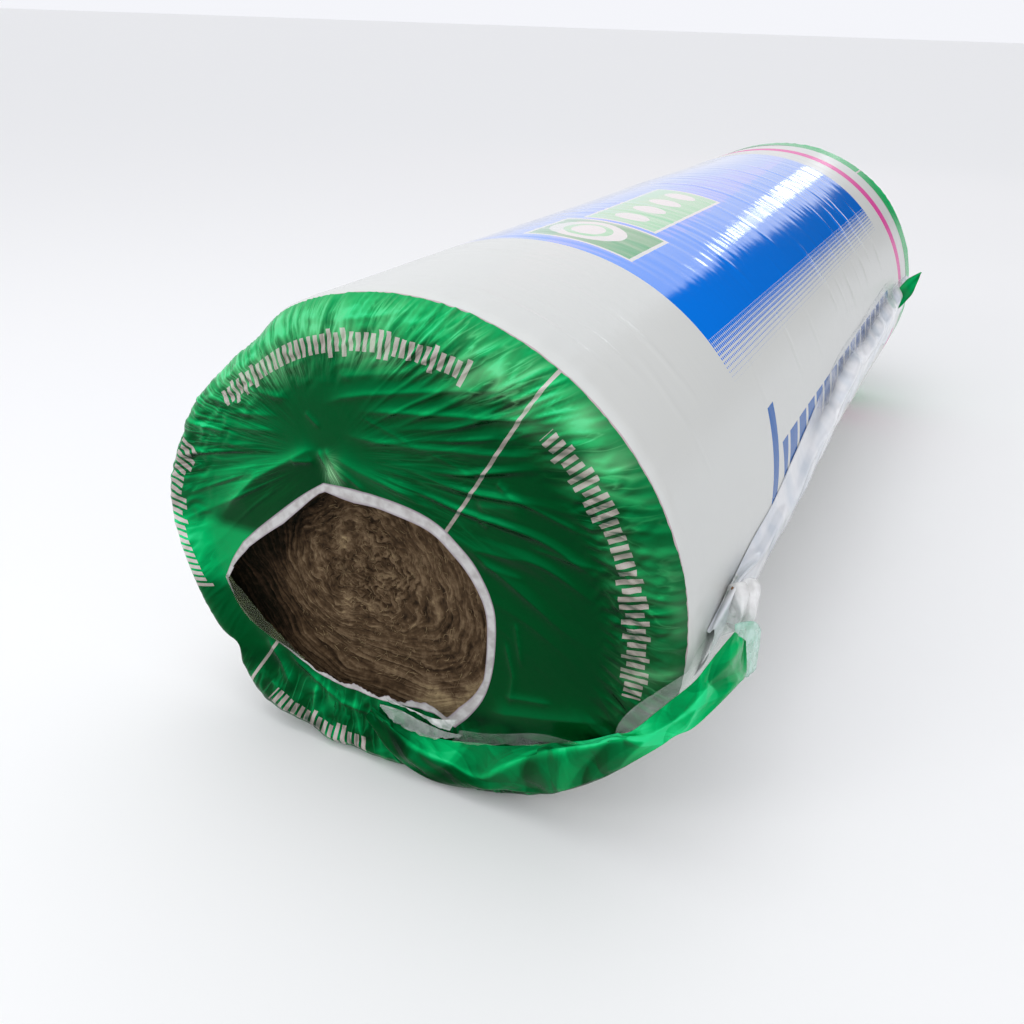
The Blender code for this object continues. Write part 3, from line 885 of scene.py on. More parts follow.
# white polyethylene film with flat blue and green flexo ink; its gloss breaks into fine streaks
# round the girth, where the film is stretched over the wool
bodyPrint = {
    # the bars' blue is print, darkened further as painted shade for the low side away from the light
    "white": "#d8d9d5", "blue": "#0081f6", "shadedBarBlue": "#005ba8", "pink": "#e2489f",
    "leaf": "#78cc90", "label": "#1c9c50", "edge": "#c3b0b2",
    "roughness": (0.24, 0.08),              # bare film, then blue ink
    "panel": (-0.3790, 0.3900),             # ends of the blue panel along the roll
    "panelMiddleDegrees": 107.0, "panelHalfDegrees": 61.0,
    "dotMm": 4.0, "dotRows": 10.0,
    "pinkBand": (0.451, 0.479),
    "nearBand": (-0.60, -nearEnd["printEdge"] + 0.0016),    # faint edge of ink beside the green print
    "bars": (-0.309, 0.350), "barPitchMm": 40.0, "barGapMm": 9.0, "barTopDegrees": 15.3, "barLean": 0.32,
    "firstBar": (-0.362, -0.342), "firstBarTopDegrees": 25.4,
    "streakMm": 4.0, "streakLengthMm": 150.0,
}
# plain label shapes on the crown: kind, middle along, middle degrees, half length, half degrees, ink
labelShapes = [
    ("box", -0.306, 83.5, 0.0490, 13.4, "white"),
    ("box", -0.306, 83.5, 0.0450, 12.4, "label"),
    ("oval", -0.306, 86.0, 0.0370, 9.0, "white"),
    ("oval", -0.306, 86.0, 0.0270, 5.6, "leaf"),
    ("oval", -0.306, 86.0, 0.0200, 3.8, "white"),
    ("box", -0.142, 84.0, 0.1080, 9.6, "white"),
    ("box", -0.142, 84.0, 0.1045, 8.8, "leaf"),
    ("oval", -0.215, 84.0, 0.0150, 4.4, "white"),
    ("oval", -0.166, 84.0, 0.0150, 4.4, "white"),
    ("oval", -0.117, 84.0, 0.0150, 4.4, "white"),
    ("oval", -0.068, 84.0, 0.0150, 4.4, "white"),
]


def bodyPrintFilm():
    spec = bodyPrint
    material, tree, surface = newMaterial("whitePrintedPolyethylene", 0.09, ior=1.45, specular=0.16,
                                          tint=(0.15, 0.60, 1.0, 1.0), coatRoughness=0.07)
    maths, degree = "Math", roll["girth"] / 360.0
    uvMap = addNode(tree, "UVMap", uv_map="filmMetres")
    around, along = addNode(tree, "SeparateXYZ", [uvMap]).node.outputs[:2]

    # blue panel, with rows of dots that shrink away from its long edges
    outside = addNode(tree, maths, [around, spec["panelMiddleDegrees"] * degree], operation="SUBTRACT")
    outside = addNode(tree, maths, [outside], operation="ABSOLUTE")
    outside = addNode(tree, maths, [outside, spec["panelHalfDegrees"] * degree], operation="SUBTRACT")
    pitch, dotRows = spec["dotMm"] / 1000, spec["dotRows"]
    row = addNode(tree, maths, [outside, pitch], operation="DIVIDE")
    column = addNode(tree, maths, [along, pitch], operation="DIVIDE")
    rowNumber = addNode(tree, maths, [row], operation="CEIL")
    rowsLeft = addNode(tree, maths, [dotRows + 1.0, rowNumber], operation="SUBTRACT")
    dotReach = addNode(tree, maths, [rowsLeft, 0.62 / (dotRows + 1.0)], operation="MULTIPLY")
    cell = addNode(tree, "CombineXYZ", [row, column, 0.0])
    cell = addNode(tree, "VectorMath", [cell], operation="FRACTION")
    cell = addNode(tree, "Mapping",
                   {"Vector": cell, "Location": (-0.5, -0.6, 0.0), "Scale": (1.0, 1.2, 1.0)})
    offDot = addNode(tree, "VectorMath", [cell], "Value", operation="LENGTH")
    dots = addNode(tree, maths, [offDot, dotReach], operation="LESS_THAN")
    inRows = addNode(tree, maths, [row, dotRows / 2, dotRows / 2], operation="COMPARE")
    dots = addNode(tree, maths, [dots, inRows], operation="MULTIPLY")
    solid = addNode(tree, maths, [outside, 0.0], operation="LESS_THAN")
    panel = addNode(tree, maths, [dots, solid], operation="MAXIMUM")
    panelMiddle, panelHalf = sum(spec["panel"]) / 2, (spec["panel"][1] - spec["panel"][0]) / 2
    inPanel = addNode(tree, maths, [along, panelMiddle, panelHalf], operation="COMPARE")
    panel = addNode(tree, maths, [panel, inPanel], operation="MULTIPLY")
    # a plain row of leaning bars low on the side
    leaned = addNode(tree, maths, [around, -spec["barLean"], along], operation="MULTIPLY_ADD")
    barPlace = addNode(tree, "CombineXYZ", [leaned, 4.0, 0.0])
    barGaps = addNode(tree, "TexBrick",
                      {"Vector": barPlace, "Color1": black, "Color2": full, "Scale": 1.0,
                       "Mortar Size": spec["barGapMm"] / 2000, "Mortar Smooth": 0.0,
                       "Brick Width": spec["barPitchMm"] / 1000, "Row Height": 8.0}).node.outputs[1]
    bars = addNode(tree, maths, [1.0, barGaps], operation="SUBTRACT")
    # the row of bars, then the taller first bar: mask, place along, its ends, top in degrees
    blue = panel
    for mask, run, (start, stop), topDegrees in (
            (bars, along, spec["bars"], spec["barTopDegrees"]),
            (1.0, leaned, spec["firstBar"], spec["firstBarTopDegrees"])):
        inRun = addNode(tree, maths, [run, (start + stop) / 2, (stop - start) / 2], operation="COMPARE")
        under = addNode(tree, maths, [around, topDegrees * degree], operation="LESS_THAN")
        inRun = addNode(tree, maths, [inRun, under], operation="MULTIPLY")
        mask = addNode(tree, maths, [inRun, mask], operation="MULTIPLY")
        blue = addNode(tree, maths, [blue, mask], operation="MAXIMUM")
    # the bars take the darker blue, painted shade
    ink = addNode(tree, mixNode, {0: panel, 6: linear(spec["shadedBarBlue"]), 7: linear(spec["blue"])}, **asColour)
    colour = addNode(tree, mixNode, {0: blue, 6: linear(spec["white"]), 7: ink}, **asColour)
    for kind, middle, degrees, halfLong, halfDegrees, ink in labelShapes:
        halfAround = halfDegrees * degree
        local = addNode(tree, "Mapping", {
            "Vector": uvMap, "Location": (-degrees * degree / halfAround, -middle / halfLong, 0.0),
            "Scale": (1 / halfAround, 1 / halfLong, 0.0)})
        if kind == "oval":
            size = addNode(tree, "VectorMath", [local], "Value", operation="LENGTH")
        else:
            local = addNode(tree, "VectorMath", [local], operation="ABSOLUTE")
            sides = addNode(tree, "SeparateXYZ", [local]).node.outputs
            size = addNode(tree, maths, [sides[0], sides[1]], operation="MAXIMUM")
        inside = addNode(tree, maths, [size, 1.0], operation="LESS_THAN")
        colour = addNode(tree, mixNode, {0: inside, 6: colour, 7: linear(spec[ink])}, **asColour)
    for (start, stop), ink in ((spec["pinkBand"], "pink"), (spec["nearBand"], "edge")):
        inside = addNode(tree, maths, [along, (start + stop) / 2, (stop - start) / 2], operation="COMPARE")
        colour = addNode(tree, mixNode, {0: inside, 6: colour, 7: linear(spec[ink])}, **asColour)
    tree.links.new(colour, surface.inputs["Base Color"])
    # blue ink is smoother than the bare film, and the panel has a gloss layer of its own over it
    tree.links.new(panel, surface.inputs["Coat Weight"])
    rough = addNode(tree, "MapRange", {0: blue, 3: spec["roughness"][0], 4: spec["roughness"][1]})
    tree.links.new(rough, surface.inputs["Roughness"])
    stretch = addNode(tree, "Mapping", {
        "Vector": uvMap, "Scale": (1000 / spec["streakLengthMm"], 1000 / spec["streakMm"], 1.0)})
    streaks = addNode(tree, "TexNoise", {"Vector": stretch, "Scale": 1.0, "Detail": 3.0})
    bump = addNode(tree, "Bump", {"Height": streaks, "Strength": 0.18, "Distance": 0.0007})
    tree.links.new(bump, surface.inputs["Normal"])
    return material


makeBody(bodyPrintFilm())

print("4 wool")

wool = {
    "columns": 420, "nearRows": 176, "farRows": 40, "core": (-0.076, 0.146),
    "pitchMm": 6.4, "grooveDepth": 0.0022, "recess": 0.022, "seed": 5,
    "rimInset": 0.002, "reach": 0.185,      # where the cut end meets the rim, and its usual radius there
    "fibres": 1000, "fibreRadius": 0.00018,
}


def woolSurface(x, z, angle, radius, side, spec):
    # depth of the cut end below the film's plane, its tone, and the radius wound with the layers
    seed = spec["seed"] + (0 if side < 0 else 60)
    turns = angle / fullTurn
    wobble = 0.0080 * latticeNoise(turns * 6, radius * 26, seed, 6)
    wobble = wobble + 0.0036 * latticeNoise(turns * 20, radius * 80, seed + 1, 20)
    swirl = smoothStep(0.075, 0.0, radius)
    wobble = wobble + swirl * 0.014 * layeredNoise(x * 55, z * 55, seed + 2, 3)
    layer = (radius + wobble) / (spec["pitchMm"] / 1000) - turns
    gap = np.abs(2 * (layer - np.floor(layer + 0.5)))
    ridge = smoothStep(0.0, 0.42, gap)
    showing = 0.05 + 0.75 * smoothStep(-0.20, 0.45, latticeNoise(x * 18, z * 18, seed + 8))
    streak = layeredNoise(turns * 22, (radius + wobble) / 0.0024, seed + 10, 3, 22)
    clump = layeredNoise(x * 150, z * 150, seed + 12, 3)
    tuft = layeredNoise(turns * 11, (radius + wobble) / 0.0062, seed + 15, 2, 11)
    share = mouthShare(x, z)
    recess = spec["recess"] * smoothStep(1.20, 0.78, share)
    recess = recess * mixed(1.0, 0.50, smoothStep(-0.02, 0.07, x)) + 0.003 * swirl
    groove = (1 - ridge) * showing
    depth = recess + spec["grooveDepth"] * groove - 0.0008 * streak - 0.0008 * clump - 0.0009 * tuft
    depth = np.maximum(depth + 0.0018, 0.0008) + filmSink(share) + filmGap
    depth = depth + 0.0042 * smoothStep(0.9, 1.2, share)
    # painted shade under the film at the left, painted light at the lower right
    shade = smoothStep(-0.080, -0.150, x + 0.30 * (0.14 - z)) * smoothStep(0.55, 0.95, share)
    lit = smoothStep(0.80, 0.92, share) * smoothStep(-0.02, 0.02, x) * smoothStep(0.110, 0.085, z)
    # painted shade: the grooves between the turns are darker
    tone = 0.49 - 0.26 * groove + 0.15 * streak + 0.09 * clump + 0.16 * tuft
    tone = tone - 0.02 * smoothStep(0.00, 0.06, x) - 0.46 * shade + 0.40 * lit
    tone = tone + swirl * (0.05 + 0.34 * latticeNoise(x * 62, z * 62, seed + 18))
    return depth, tone, radius + wobble


def woolEnd(shares, turn, side, spec):
    rimX, rimZ = sectionPoint(turn, rimRadiusAt(turn) + spec["rimInset"])
    coreX, coreZ = spec["core"]
    share = shares[:, None]
    x = coreX + (rimX - coreX)[None, :] * share
    z = coreZ + (rimZ - coreZ)[None, :] * share
    angle = np.broadcast_to(turn[None, :], x.shape)
    radius = np.broadcast_to(share * spec["reach"], x.shape)
    depth, tone, wound = woolSurface(x, z, angle, radius, side, spec)
    y = side * (halfLength - depth)
    return np.stack([x, y, z], -1), tone, np.stack([angle * uvRadius, wound], -1)


def woolShares(count, inner, atRim, rimStart):
    # shares of the way from the core to the rim, closer together near the rim
    return np.concatenate([np.linspace(inner, 0.80, count - atRim), np.linspace(rimStart, 1.0, atRim)])


def makeWool(material):
    spec = wool
    turn = fullTurn * np.arange(spec["columns"]) / spec["columns"]
    nearShares = woolShares(spec["nearRows"], 0.004, 12, 0.815)
    farShares = woolShares(spec["farRows"], 0.01, 6, 0.83)[::-1]
    nearPoints, nearTone, nearUv = woolEnd(nearShares, turn, -1, spec)
    farPoints, farTone, farUv = woolEnd(farShares, turn, 1, spec)
    x, z = sectionPoint(turn, filmGap + 0.0012)
    stations = np.linspace(-(halfLength - 0.030), halfLength - 0.030, 5)
    sideRows = np.array([np.stack([x, np.full(len(turn), y), z], -1) for y in stations])
    sideTone = np.full((5, len(turn)), 0.4)
    sideUv = np.stack([np.repeat((turn * uvRadius)[None, :], 5, 0), 0.2 + sideRows[..., 1]], -1)
    points = pressDents(np.concatenate([nearPoints, sideRows, farPoints]), swell=False)
    tone = np.concatenate([nearTone, sideTone, farTone])
    uv = np.concatenate([nearUv, sideUv, farUv])
    uv = np.concatenate([uv, uv[:, :1] + (fullTurn * uvRadius, 0)], 1)
    # the eye of the spiral closes on itself at both ends
    for row in (0, -1):
        points[row] = points[row].mean(0)
    made = gridMesh("wool_blanket_roll", points, uv, {"woolTone": np.clip(tone, 0, 1)}, flip=True)
    dress(made, material, "glass_wool", "glass_wool_roll")


def makeFibres(material):
    # loose ends of fibre that curl off the cut end inside the mouth
    spec = wool
    rng = np.random.default_rng(spec["seed"] + 200)
    count, joints = spec["fibres"], 5
    heading = rng.uniform(0, fullTurn, count)
    share = np.sqrt(rng.uniform(0.002, 0.86, count))
    reach = np.interp(heading, traceHeading, traceReach, period=fullTurn)
    x = mouth["middle"][0] + np.cos(heading) * reach * share
    z = mouth["middle"][1] + np.sin(heading) * reach * share
    coreX, coreZ = spec["core"]
    way = np.arctan2(z - coreZ, x - coreX) + math.pi / 2 + rng.normal(0, 0.45, count)
    length = rng.uniform(0.003, 0.009, count)
    bend = rng.normal(0, 0.9, count)
    verts, faces, tones = [], [], []
    tone = rng.uniform(0.45, 1.0, count)
    # painted shade: the fibres are darker at the left, under the film
    tone = tone * smoothStep(-0.17, -0.09, x + 0.30 * (0.14 - z))
    for j in range(joints):
        s = j / (joints - 1) - 0.5
        turned = way + bend * s
        jx, jz = x + np.cos(turned) * length * s, z + np.sin(turned) * length * s
        angle = np.arctan2(jz - coreZ, jx - coreX) % fullTurn
        rimX, rimZ = sectionPoint(angle, rimRadiusAt(angle) + spec["rimInset"])
        radius = spec["reach"] * np.hypot(jx - coreX, jz - coreZ) / np.hypot(rimX - coreX, rimZ - coreZ)
        depth = woolSurface(jx, jz, angle, radius, -1, spec)[0]
        lift = 0.0004 + 0.0016 * abs(s) * tone
        y = -(halfLength - depth) - lift
        for k in range(3):
            around = k * fullTurn / 3
            width = spec["fibreRadius"] * (1.0 - 1.2 * abs(s))
            verts.append(np.stack([jx - np.sin(way) * math.cos(around) * width, y - math.sin(around) * width,
                                   jz + np.cos(way) * math.cos(around) * width], -1))
            tones.append(tone)
    points = np.array(verts).reshape(joints, 3, count, 3).transpose(2, 0, 1, 3)
    tones = np.array(tones).reshape(joints, 3, count).transpose(2, 0, 1)
    for i in range(count):
        base = i * joints * 3
        for j in range(joints - 1):
            for k in range(3):
                a, b = base + j * 3 + k, base + j * 3 + (k + 1) % 3
                faces.append((a, b, b + 3, a + 3))
        faces.append((base + 2, base + 1, base))
        top = base + (joints - 1) * 3
        faces.append((top, top + 1, top + 2))
    mesh = bpy.data.meshes.new("wool_fibres")
    mesh.from_pydata(points.reshape(-1, 3), [], faces)
    dress(placed("wool_fibres", mesh, {"woolTone": tones}), material, "glass_wool", "glass_wool_roll")


# binder-brown mineral wool: matt and fibrous, with the gaps between the turns darkened as painted shade
woolLook = {
    # the darkest stop is olive black, for the painted shade under the green film at the left
    "tones": [(0.0, "#0c0b03"), (0.25, "#2e2216"), (0.46, "#4d3c2a"), (0.66, "#6f5c46"), (1.0, "#a8946f")],
    "fibreMm": 1.3, "fibreLengthMm": 16.0, "clumpMm": 4.0,
}


def mineralWool(fibrous):
    spec = woolLook
    name = "mineralWool" if fibrous else "mineralWoolFibre"
    material, tree, surface = newMaterial(name, 0.95, specular=0.12)
    tone = addNode(tree, "Attribute", output="Fac", attribute_name="woolTone")
    if fibrous:
        uvMap = addNode(tree, "UVMap", uv_map="filmMetres")
        stretch = addNode(tree, "Mapping", {
            "Vector": uvMap, "Scale": (1000 / spec["fibreLengthMm"], 1000 / spec["fibreMm"], 1.0)})
        hair = addNode(tree, "TexNoise",
                       {"Vector": stretch, "Scale": 1.0, "Detail": 3.0, "Roughness": 0.6})
        place = addNode(tree, "TexCoord", output="Object")
        clump = addNode(tree, "TexNoise", {"Vector": place, "Scale": 1000 / spec["clumpMm"],
                                                     "Detail": 5.0, "Roughness": 0.65})
        both = addNode(tree, "Math", [hair, clump], operation="ADD")
        lift = addNode(tree, "Math", [both, 0.46, -0.46], operation="MULTIPLY_ADD")
        tone = addNode(tree, "Math", [tone, lift], operation="ADD")
        bump = addNode(tree, "Bump", {"Height": both, "Strength": 0.7, "Distance": 0.0012})
        tree.links.new(bump, surface.inputs["Normal"])
    colour = setStops(addNode(tree, "ValToRGB", [tone]), spec["tones"])
    tree.links.new(colour, surface.inputs["Base Color"])
    return material


makeWool(mineralWool(True))
makeFibres(mineralWool(False))

print("5 loose fin, flap and torn ends")

# clear polyethylene: no ink, thin enough to see the print behind, whitish where it is creased
clearLooks = {
    # name, colour, the painted shade in its creases, cover, roughness, crease mm
    "clear": ("clearPolyethylene", "#e4ece6", "#c8d2ca", 0.15, 0.14, 16.0),
    "milky": ("creasedPolyethylene", "#eef0ee", "#a9b5ad", 0.80, 0.20, 9.0),
    "torn": ("tornPolyethylene", "#d3dcd6", "#a4b4aa", 0.38, 0.18, 10.0),
    "thin": ("thinPolyethylene", "#cfdcd3", "#b0c0b5", 0.08, 0.12, 16.0),
    "stretched": ("stretchedPolyethylene", "#fcfdff", "#e6ecf3", 0.78, 0.16, 45.0),
    "mint": ("greenTintedPolyethylene", "#c9f6e6", "#93d3b7", 0.62, 0.16, 11.0),
    # dark olive: the film's inner side, darkened as painted shade inside the mouth
    "inside": ("filmSeenFromInsideInShade", "#5d6b42", "#3c472a", 0.40, 0.24, 22.0),
}


def clearFilm(key):
    name, colour, shaded, cover, roughness, creaseMm = clearLooks[key]
    material, tree, surface = newMaterial(name, roughness, ior=1.51)
    place = addNode(tree, "TexCoord", output="Object")
    crease = addNode(tree, "TexNoise", {"Vector": place, "Scale": 1000 / creaseMm, "Detail": 2.0})
    # painted shade: darker in the low parts of the crease noise that also drives the bump
    cloudy = setStops(addNode(tree, "ValToRGB", [crease]), [(0.40, shaded), (0.60, colour)])
    tree.links.new(cloudy, surface.inputs["Base Color"])
    # whiter, and so less clear, where the film is folded or stretched
    milk = addNode(tree, "Attribute", output="Fac", attribute_name="milk")
    alpha = addNode(tree, "Math", [milk, cover], operation="MULTIPLY", use_clamp=True)
    tree.links.new(alpha, surface.inputs["Alpha"])
    bump = addNode(tree, "Bump", {"Height": crease, "Strength": 0.4, "Distance": creaseMm / 12000})
    tree.links.new(bump, surface.inputs["Normal"])
    return material


clearSheets = {key: clearFilm(key) for key in clearLooks}
sheetThickness = 0.0003

fin = {
    "thickness": 0.0004,
    "rows": 300, "columns": 22,
    # along the roll: y, level where it leaves the body, how far it stands out, level of the outermost fold
    "stations": [
        (-0.545, 0.172, 0.0070, 0.166), (-0.500, 0.178, 0.0095, 0.184), (-0.426, 0.188, 0.0100, 0.176),
        (-0.352, 0.192, 0.0095, 0.168), (-0.292, 0.202, 0.0100, 0.172), (-0.220, 0.213, 0.0100, 0.188),
        (-0.124, 0.228, 0.0105, 0.198), (-0.018, 0.238, 0.0110, 0.212), (0.060, 0.238, 0.0100, 0.203),
        (0.106, 0.237, 0.0108, 0.200), (0.224, 0.240, 0.0105, 0.206), (0.300, 0.241, 0.0095, 0.204),
        (0.400, 0.242, 0.0080, 0.203), (0.500, 0.236, 0.0070, 0.200), (0.572, 0.222, 0.0060, 0.196),
    ],
    "hang": 0.050,
}


def onSide(level):
    # x of the body's side at a height
    reach = np.where(level > roll["widestLevel"], crownHeight - roll["widestLevel"], roll["widestLevel"])
    return halfWidth * np.sqrt(np.clip(1 - ((level - roll["widestLevel"]) / reach) ** 2, 0, 1))


def makeFin(material):
    spec = fin
    stations = smoothCurve(spec["stations"], spec["rows"])
    y, top, stand, fold = stations.T
    low = fold - spec["hang"]
    high, deep = (top + fold) / 2, (fold + low) / 2
    knotsX = np.stack([onSide(top) + 0.0006, onSide(high) + 0.0014 + stand * 0.25, halfWidth + stand,
                       halfWidth + stand * 0.9, onSide(deep) + stand * 0.75, onSide(low) + stand * 0.35], 1)
    knotsZ = np.stack([top, high, fold + 0.004, fold - 0.006, deep, low], 1)
    x = smoothCurve(knotsX.T, spec["columns"]).T
    z = smoothCurve(knotsZ.T, spec["columns"]).T
    points = np.stack([x, np.repeat(y[:, None], spec["columns"], 1), z], -1)
    across = np.linspace(0, 1, spec["columns"])[None, :]
    free = smoothStep(0.05, 0.35, across)
    a, b = points[..., 1], across * 0.06
    wave = 0.0026 * latticeNoise(a * 12, b * 16, 301)
    wave = wave + 0.0042 * (crumple(a / 0.060, b / 0.026, 303, 5) - 0.45)
    points[..., 0] += free * np.maximum(wave, -0.004)
    points[..., 2] += free * 0.006 * latticeNoise(a * 16, 0.4, 307)
    # it lies nearly clear over the print, and whitens in the folds at its outer edge
    folded = np.abs(2 * crumple(a / 0.040, b / 0.018, 305, 5) - 0.9)
    milk = 0.14 + 1.0 * smoothStep(0.15, 0.34, across) + 0.30 * folded
    milk = mixed(milk, 1.0 + 0 * milk, smoothStep(-0.12, -0.26, a))
    made = filmRibbon("film_side_fin", points, {"milk": np.clip(milk, 0, 1.25)}, spec["thickness"])
    dress(made, material, "printed_film")


makeFin(clearSheets["stretched"])

# flap at the foot of the near end: inner edge, middle fold and outer edge, then tone inside the fold and
# outside it; these tones are painted light and shade, lit inside the fold and shaded on the outer part that
# faces down
flap = {
    "thickness": 0.0005, "rows": 420, "columns": 48, "length": 0.40,
    "foremost": -0.6160, "lowest": 0.0006,
    "stations": [
        ((0.2434, -0.5600, 0.1867), (0.2465, -0.5520, 0.1790), (0.2491, -0.5450, 0.1724), 0.66, 0.62),
        ((0.2386, -0.5720, 0.1800), (0.2440, -0.5690, 0.1700), (0.2512, -0.5360, 0.1400), 0.70, 0.70),
        ((0.2337, -0.5880, 0.1727), (0.2400, -0.5900, 0.1655), (0.2512, -0.5689, 0.1494), 0.68, 0.78),
        ((0.2302, -0.6020, 0.1682), (0.2375, -0.6060, 0.1610), (0.2444, -0.6000, 0.1483), 0.70, 0.82),
        ((0.2212, -0.6060, 0.1561), (0.2290, -0.6110, 0.1475), (0.2341, -0.6060, 0.1335), 0.66, 0.90),
        ((0.2095, -0.6080, 0.1398), (0.2185, -0.6130, 0.1340), (0.2237, -0.6100, 0.1255), 0.64, 1.02),
        ((0.1935, -0.6100, 0.1179), (0.2061, -0.6138, 0.1210), (0.2134, -0.6100, 0.1117), 0.95, 0.86),
        ((0.1802, -0.6060, 0.1073), (0.1835, -0.6138, 0.1090), (0.1836, -0.6085, 0.0763), 0.98, 0.44),
        ((0.1613, -0.6040, 0.0930), (0.1651, -0.6138, 0.0975), (0.1662, -0.6085, 0.0596), 0.92, 0.40),
        ((0.1457, -0.6030, 0.0842), (0.1450, -0.6135, 0.0860), (0.1433, -0.6085, 0.0404), 0.66, 0.42),
        ((0.1256, -0.6020, 0.0736), (0.1290, -0.6130, 0.0755), (0.1325, -0.6080, 0.0329), 0.50, 0.42),
        ((0.0909, -0.6020, 0.0578), (0.1000, -0.6115, 0.0507), (0.1122, -0.6070, 0.0249), 0.50, 0.36),
        ((0.0710, -0.6020, 0.0527), (0.0749, -0.6100, 0.0265), (0.0920, -0.6060, 0.0184), 0.60, 0.30),
        ((0.0406, -0.6030, 0.0446), (0.0467, -0.6115, 0.0300), (0.0576, -0.6080, 0.0073), 0.68, 0.24),
        ((0.0165, -0.6040, 0.0432), (0.0175, -0.6120, 0.0350), (0.0269, -0.6105, 0.0060), 0.58, 0.20),
        ((-0.0090, -0.6045, 0.0455), (-0.0086, -0.6105, 0.0461), (-0.0035, -0.6110, 0.0180), 0.40, 0.18),
        ((-0.0268, -0.6040, 0.0523), (-0.0301, -0.6060, 0.0469), (-0.0310, -0.6060, 0.0420), 0.25, 0.14),
    ],
}


def makeFlap(material):
    spec = flap
    knots = np.array([station[:3] for station in spec["stations"]])
    tones = np.array([station[3:] for station in spec["stations"]])
    runs = smoothCurve(knots, spec["rows"])
    tones = smoothCurve(tones, spec["rows"])
    s = np.linspace(0, 2, spec["columns"])[None, :, None]
    points = np.where(s < 1, mixed(runs[:, 0:1], runs[:, 1:2], np.minimum(s, 1)),
                      mixed(runs[:, 1:2], runs[:, 2:3], np.maximum(s - 1, 0)))
    across = s[0, :, 0]
    place = np.linspace(0, spec["length"], spec["rows"])[:, None]
    crushed = crumple(place / 0.034, across[None, :] * 0.02 / 0.020, 401, 4)
    fine = crumple(place / 0.014, across[None, :] * 0.02 / 0.010, 402, 4)
    pinned = smoothStep(0.0, 0.25, across)[None, :] * smoothStep(2.0, 1.85, across)[None, :]
    normal = gridNormals(points)
    normal *= np.sign(-normal[..., 1:2] + 0.3 * normal[..., 0:1] + 1e-9)
    height = (0.0050 * (crushed - 0.5) + 0.0022 * (fine - 0.5)) * pinned
    bulge = 0.0022 * np.sin(np.clip(across - 1, 0, 1) * math.pi)[None, :] * smoothStep(0.12, 0.2, place)
    points = points + normal * (height + bulge)[..., None]
    points[..., 1] = np.maximum(points[..., 1], spec["foremost"])
    points[..., 2] = np.maximum(points[..., 2], spec["lowest"])
    inside = smoothStep(1.12, 0.88, across)[None, :]
    tone = mixed(tones[:, 1:2], tones[:, 0:1], inside)
    # painted highlight along the middle fold
    tone = tone + 0.30 * np.exp(-((across - 1) / 0.10) ** 2)[None, :] * smoothStep(0.02, 0.10, place)
    # painted shading: every facet between creases is lighter or darker by its slope, as if lit from one side
    step = spec["length"] / (spec["rows"] - 1)
    tone = tone + 0.15 * np.gradient(crushed, step / 0.034, axis=0) + 0.10 * (crushed - 0.45)
    tone = tone + 0.09 * np.gradient(fine, step / 0.014, axis=0) * smoothStep(0.06, 0.18, place)
    made = filmRibbon("film_end_flap", points, {"filmTone": np.clip(tone, 0, 1.3)}, spec["thickness"])
    dress(made, material, "printed_film")


makeFlap(greenFilm)

# sheets between two edges: name, look, crumple mm, edge one, edge two, the edges' points in mm
looseSheets = [
    ("film_clear_strip", "clear", 1.4,
     [(220.8, -504.0, 160.0), (221.5, -564.0, 169.0), (222.5, -583.6, 170.0), (223.0, -599.0, 170.5),
      (205.9, -603.0, 151.4), (190.4, -603.5, 132.0), (181.7, -603.5, 115.6), (179.3, -604.0, 103.9)],
     [(243.4, -560.0, 186.7), (238.6, -572.0, 180.0), (233.7, -588.0, 172.7), (230.2, -601.5, 168.2),
      (221.2, -605.5, 156.1), (209.5, -607.5, 139.8), (193.5, -609.5, 117.9), (180.2, -607.0, 106.0)]),
    ("film_white_tear", "torn", 2.4,
     [(-20.5, -603.5, 57.3), (-1.3, -604.0, 59.0), (17.2, -604.5, 56.2), (38.3, -604.5, 54.0),
      (56.0, -604.0, 56.0)],
     [(-20.0, -604.0, 56.6), (-8.4, -605.5, 47.5), (5.9, -606.0, 44.6), (27.4, -606.0, 44.0),
      (54.5, -605.0, 53.0)]),
    ("film_clear_tear", "thin", 1.2,
     [(54.0, -604.0, 60.0), (81.6, -603.5, 66.9), (119.4, -604.0, 82.4), (144.3, -605.0, 86.6),
      (156.2, -606.0, 88.0)],
     [(48.0, -605.5, 46.5), (75.7, -604.5, 54.9), (120.4, -605.0, 72.2), (144.0, -605.5, 80.0),
      (154.0, -606.0, 86.5)]),
    ("film_torn_corner", "milky", 0.8,
     [(-13.0, -604.5, 66.2), (15.0, -605.0, 64.0), (33.0, -605.5, 64.0), (52.0, -605.0, 70.0)],
     [(-12.0, -604.0, 64.0), (16.0, -604.5, 61.5), (29.0, -605.0, 58.5), (45.5, -605.0, 56.0)]),
    ("film_inner_curl", "inside", 1.0,
     [(-177.5, -596.0, 128.5), (-169.0, -596.5, 108.0), (-155.0, -597.0, 92.5), (-130.0, -597.0, 80.0),
      (-100.0, -597.0, 69.0)],
     [(-176.1, -593.8, 129.3), (-163.5, -590.2, 111.8), (-148.4, -590.4, 96.6), (-126.7, -592.0, 82.8),
      (-99.5, -595.9, 69.7)]),
    ("film_mint_end", "mint", 2.6,
     [(240.0, -546.0, 184.0), (244.0, -533.0, 180.0), (249.0, -518.0, 173.0), (252.0, -506.0, 160.0)],
     [(245.0, -550.0, 152.0), (248.0, -538.0, 140.0), (251.5, -523.0, 129.0), (252.5, -502.0, 123.0)]),
    ("film_white_skirt", "milky", 1.8,
     [(222.2, -476.0, 185.0), (222.2, -508.0, 180.0), (222.0, -516.0, 163.0), (220.5, -512.0, 146.0)],
     [(232.0, -488.0, 186.0), (232.0, -492.0, 171.1), (232.0, -488.0, 154.7), (231.0, -488.0, 142.6)]),
]


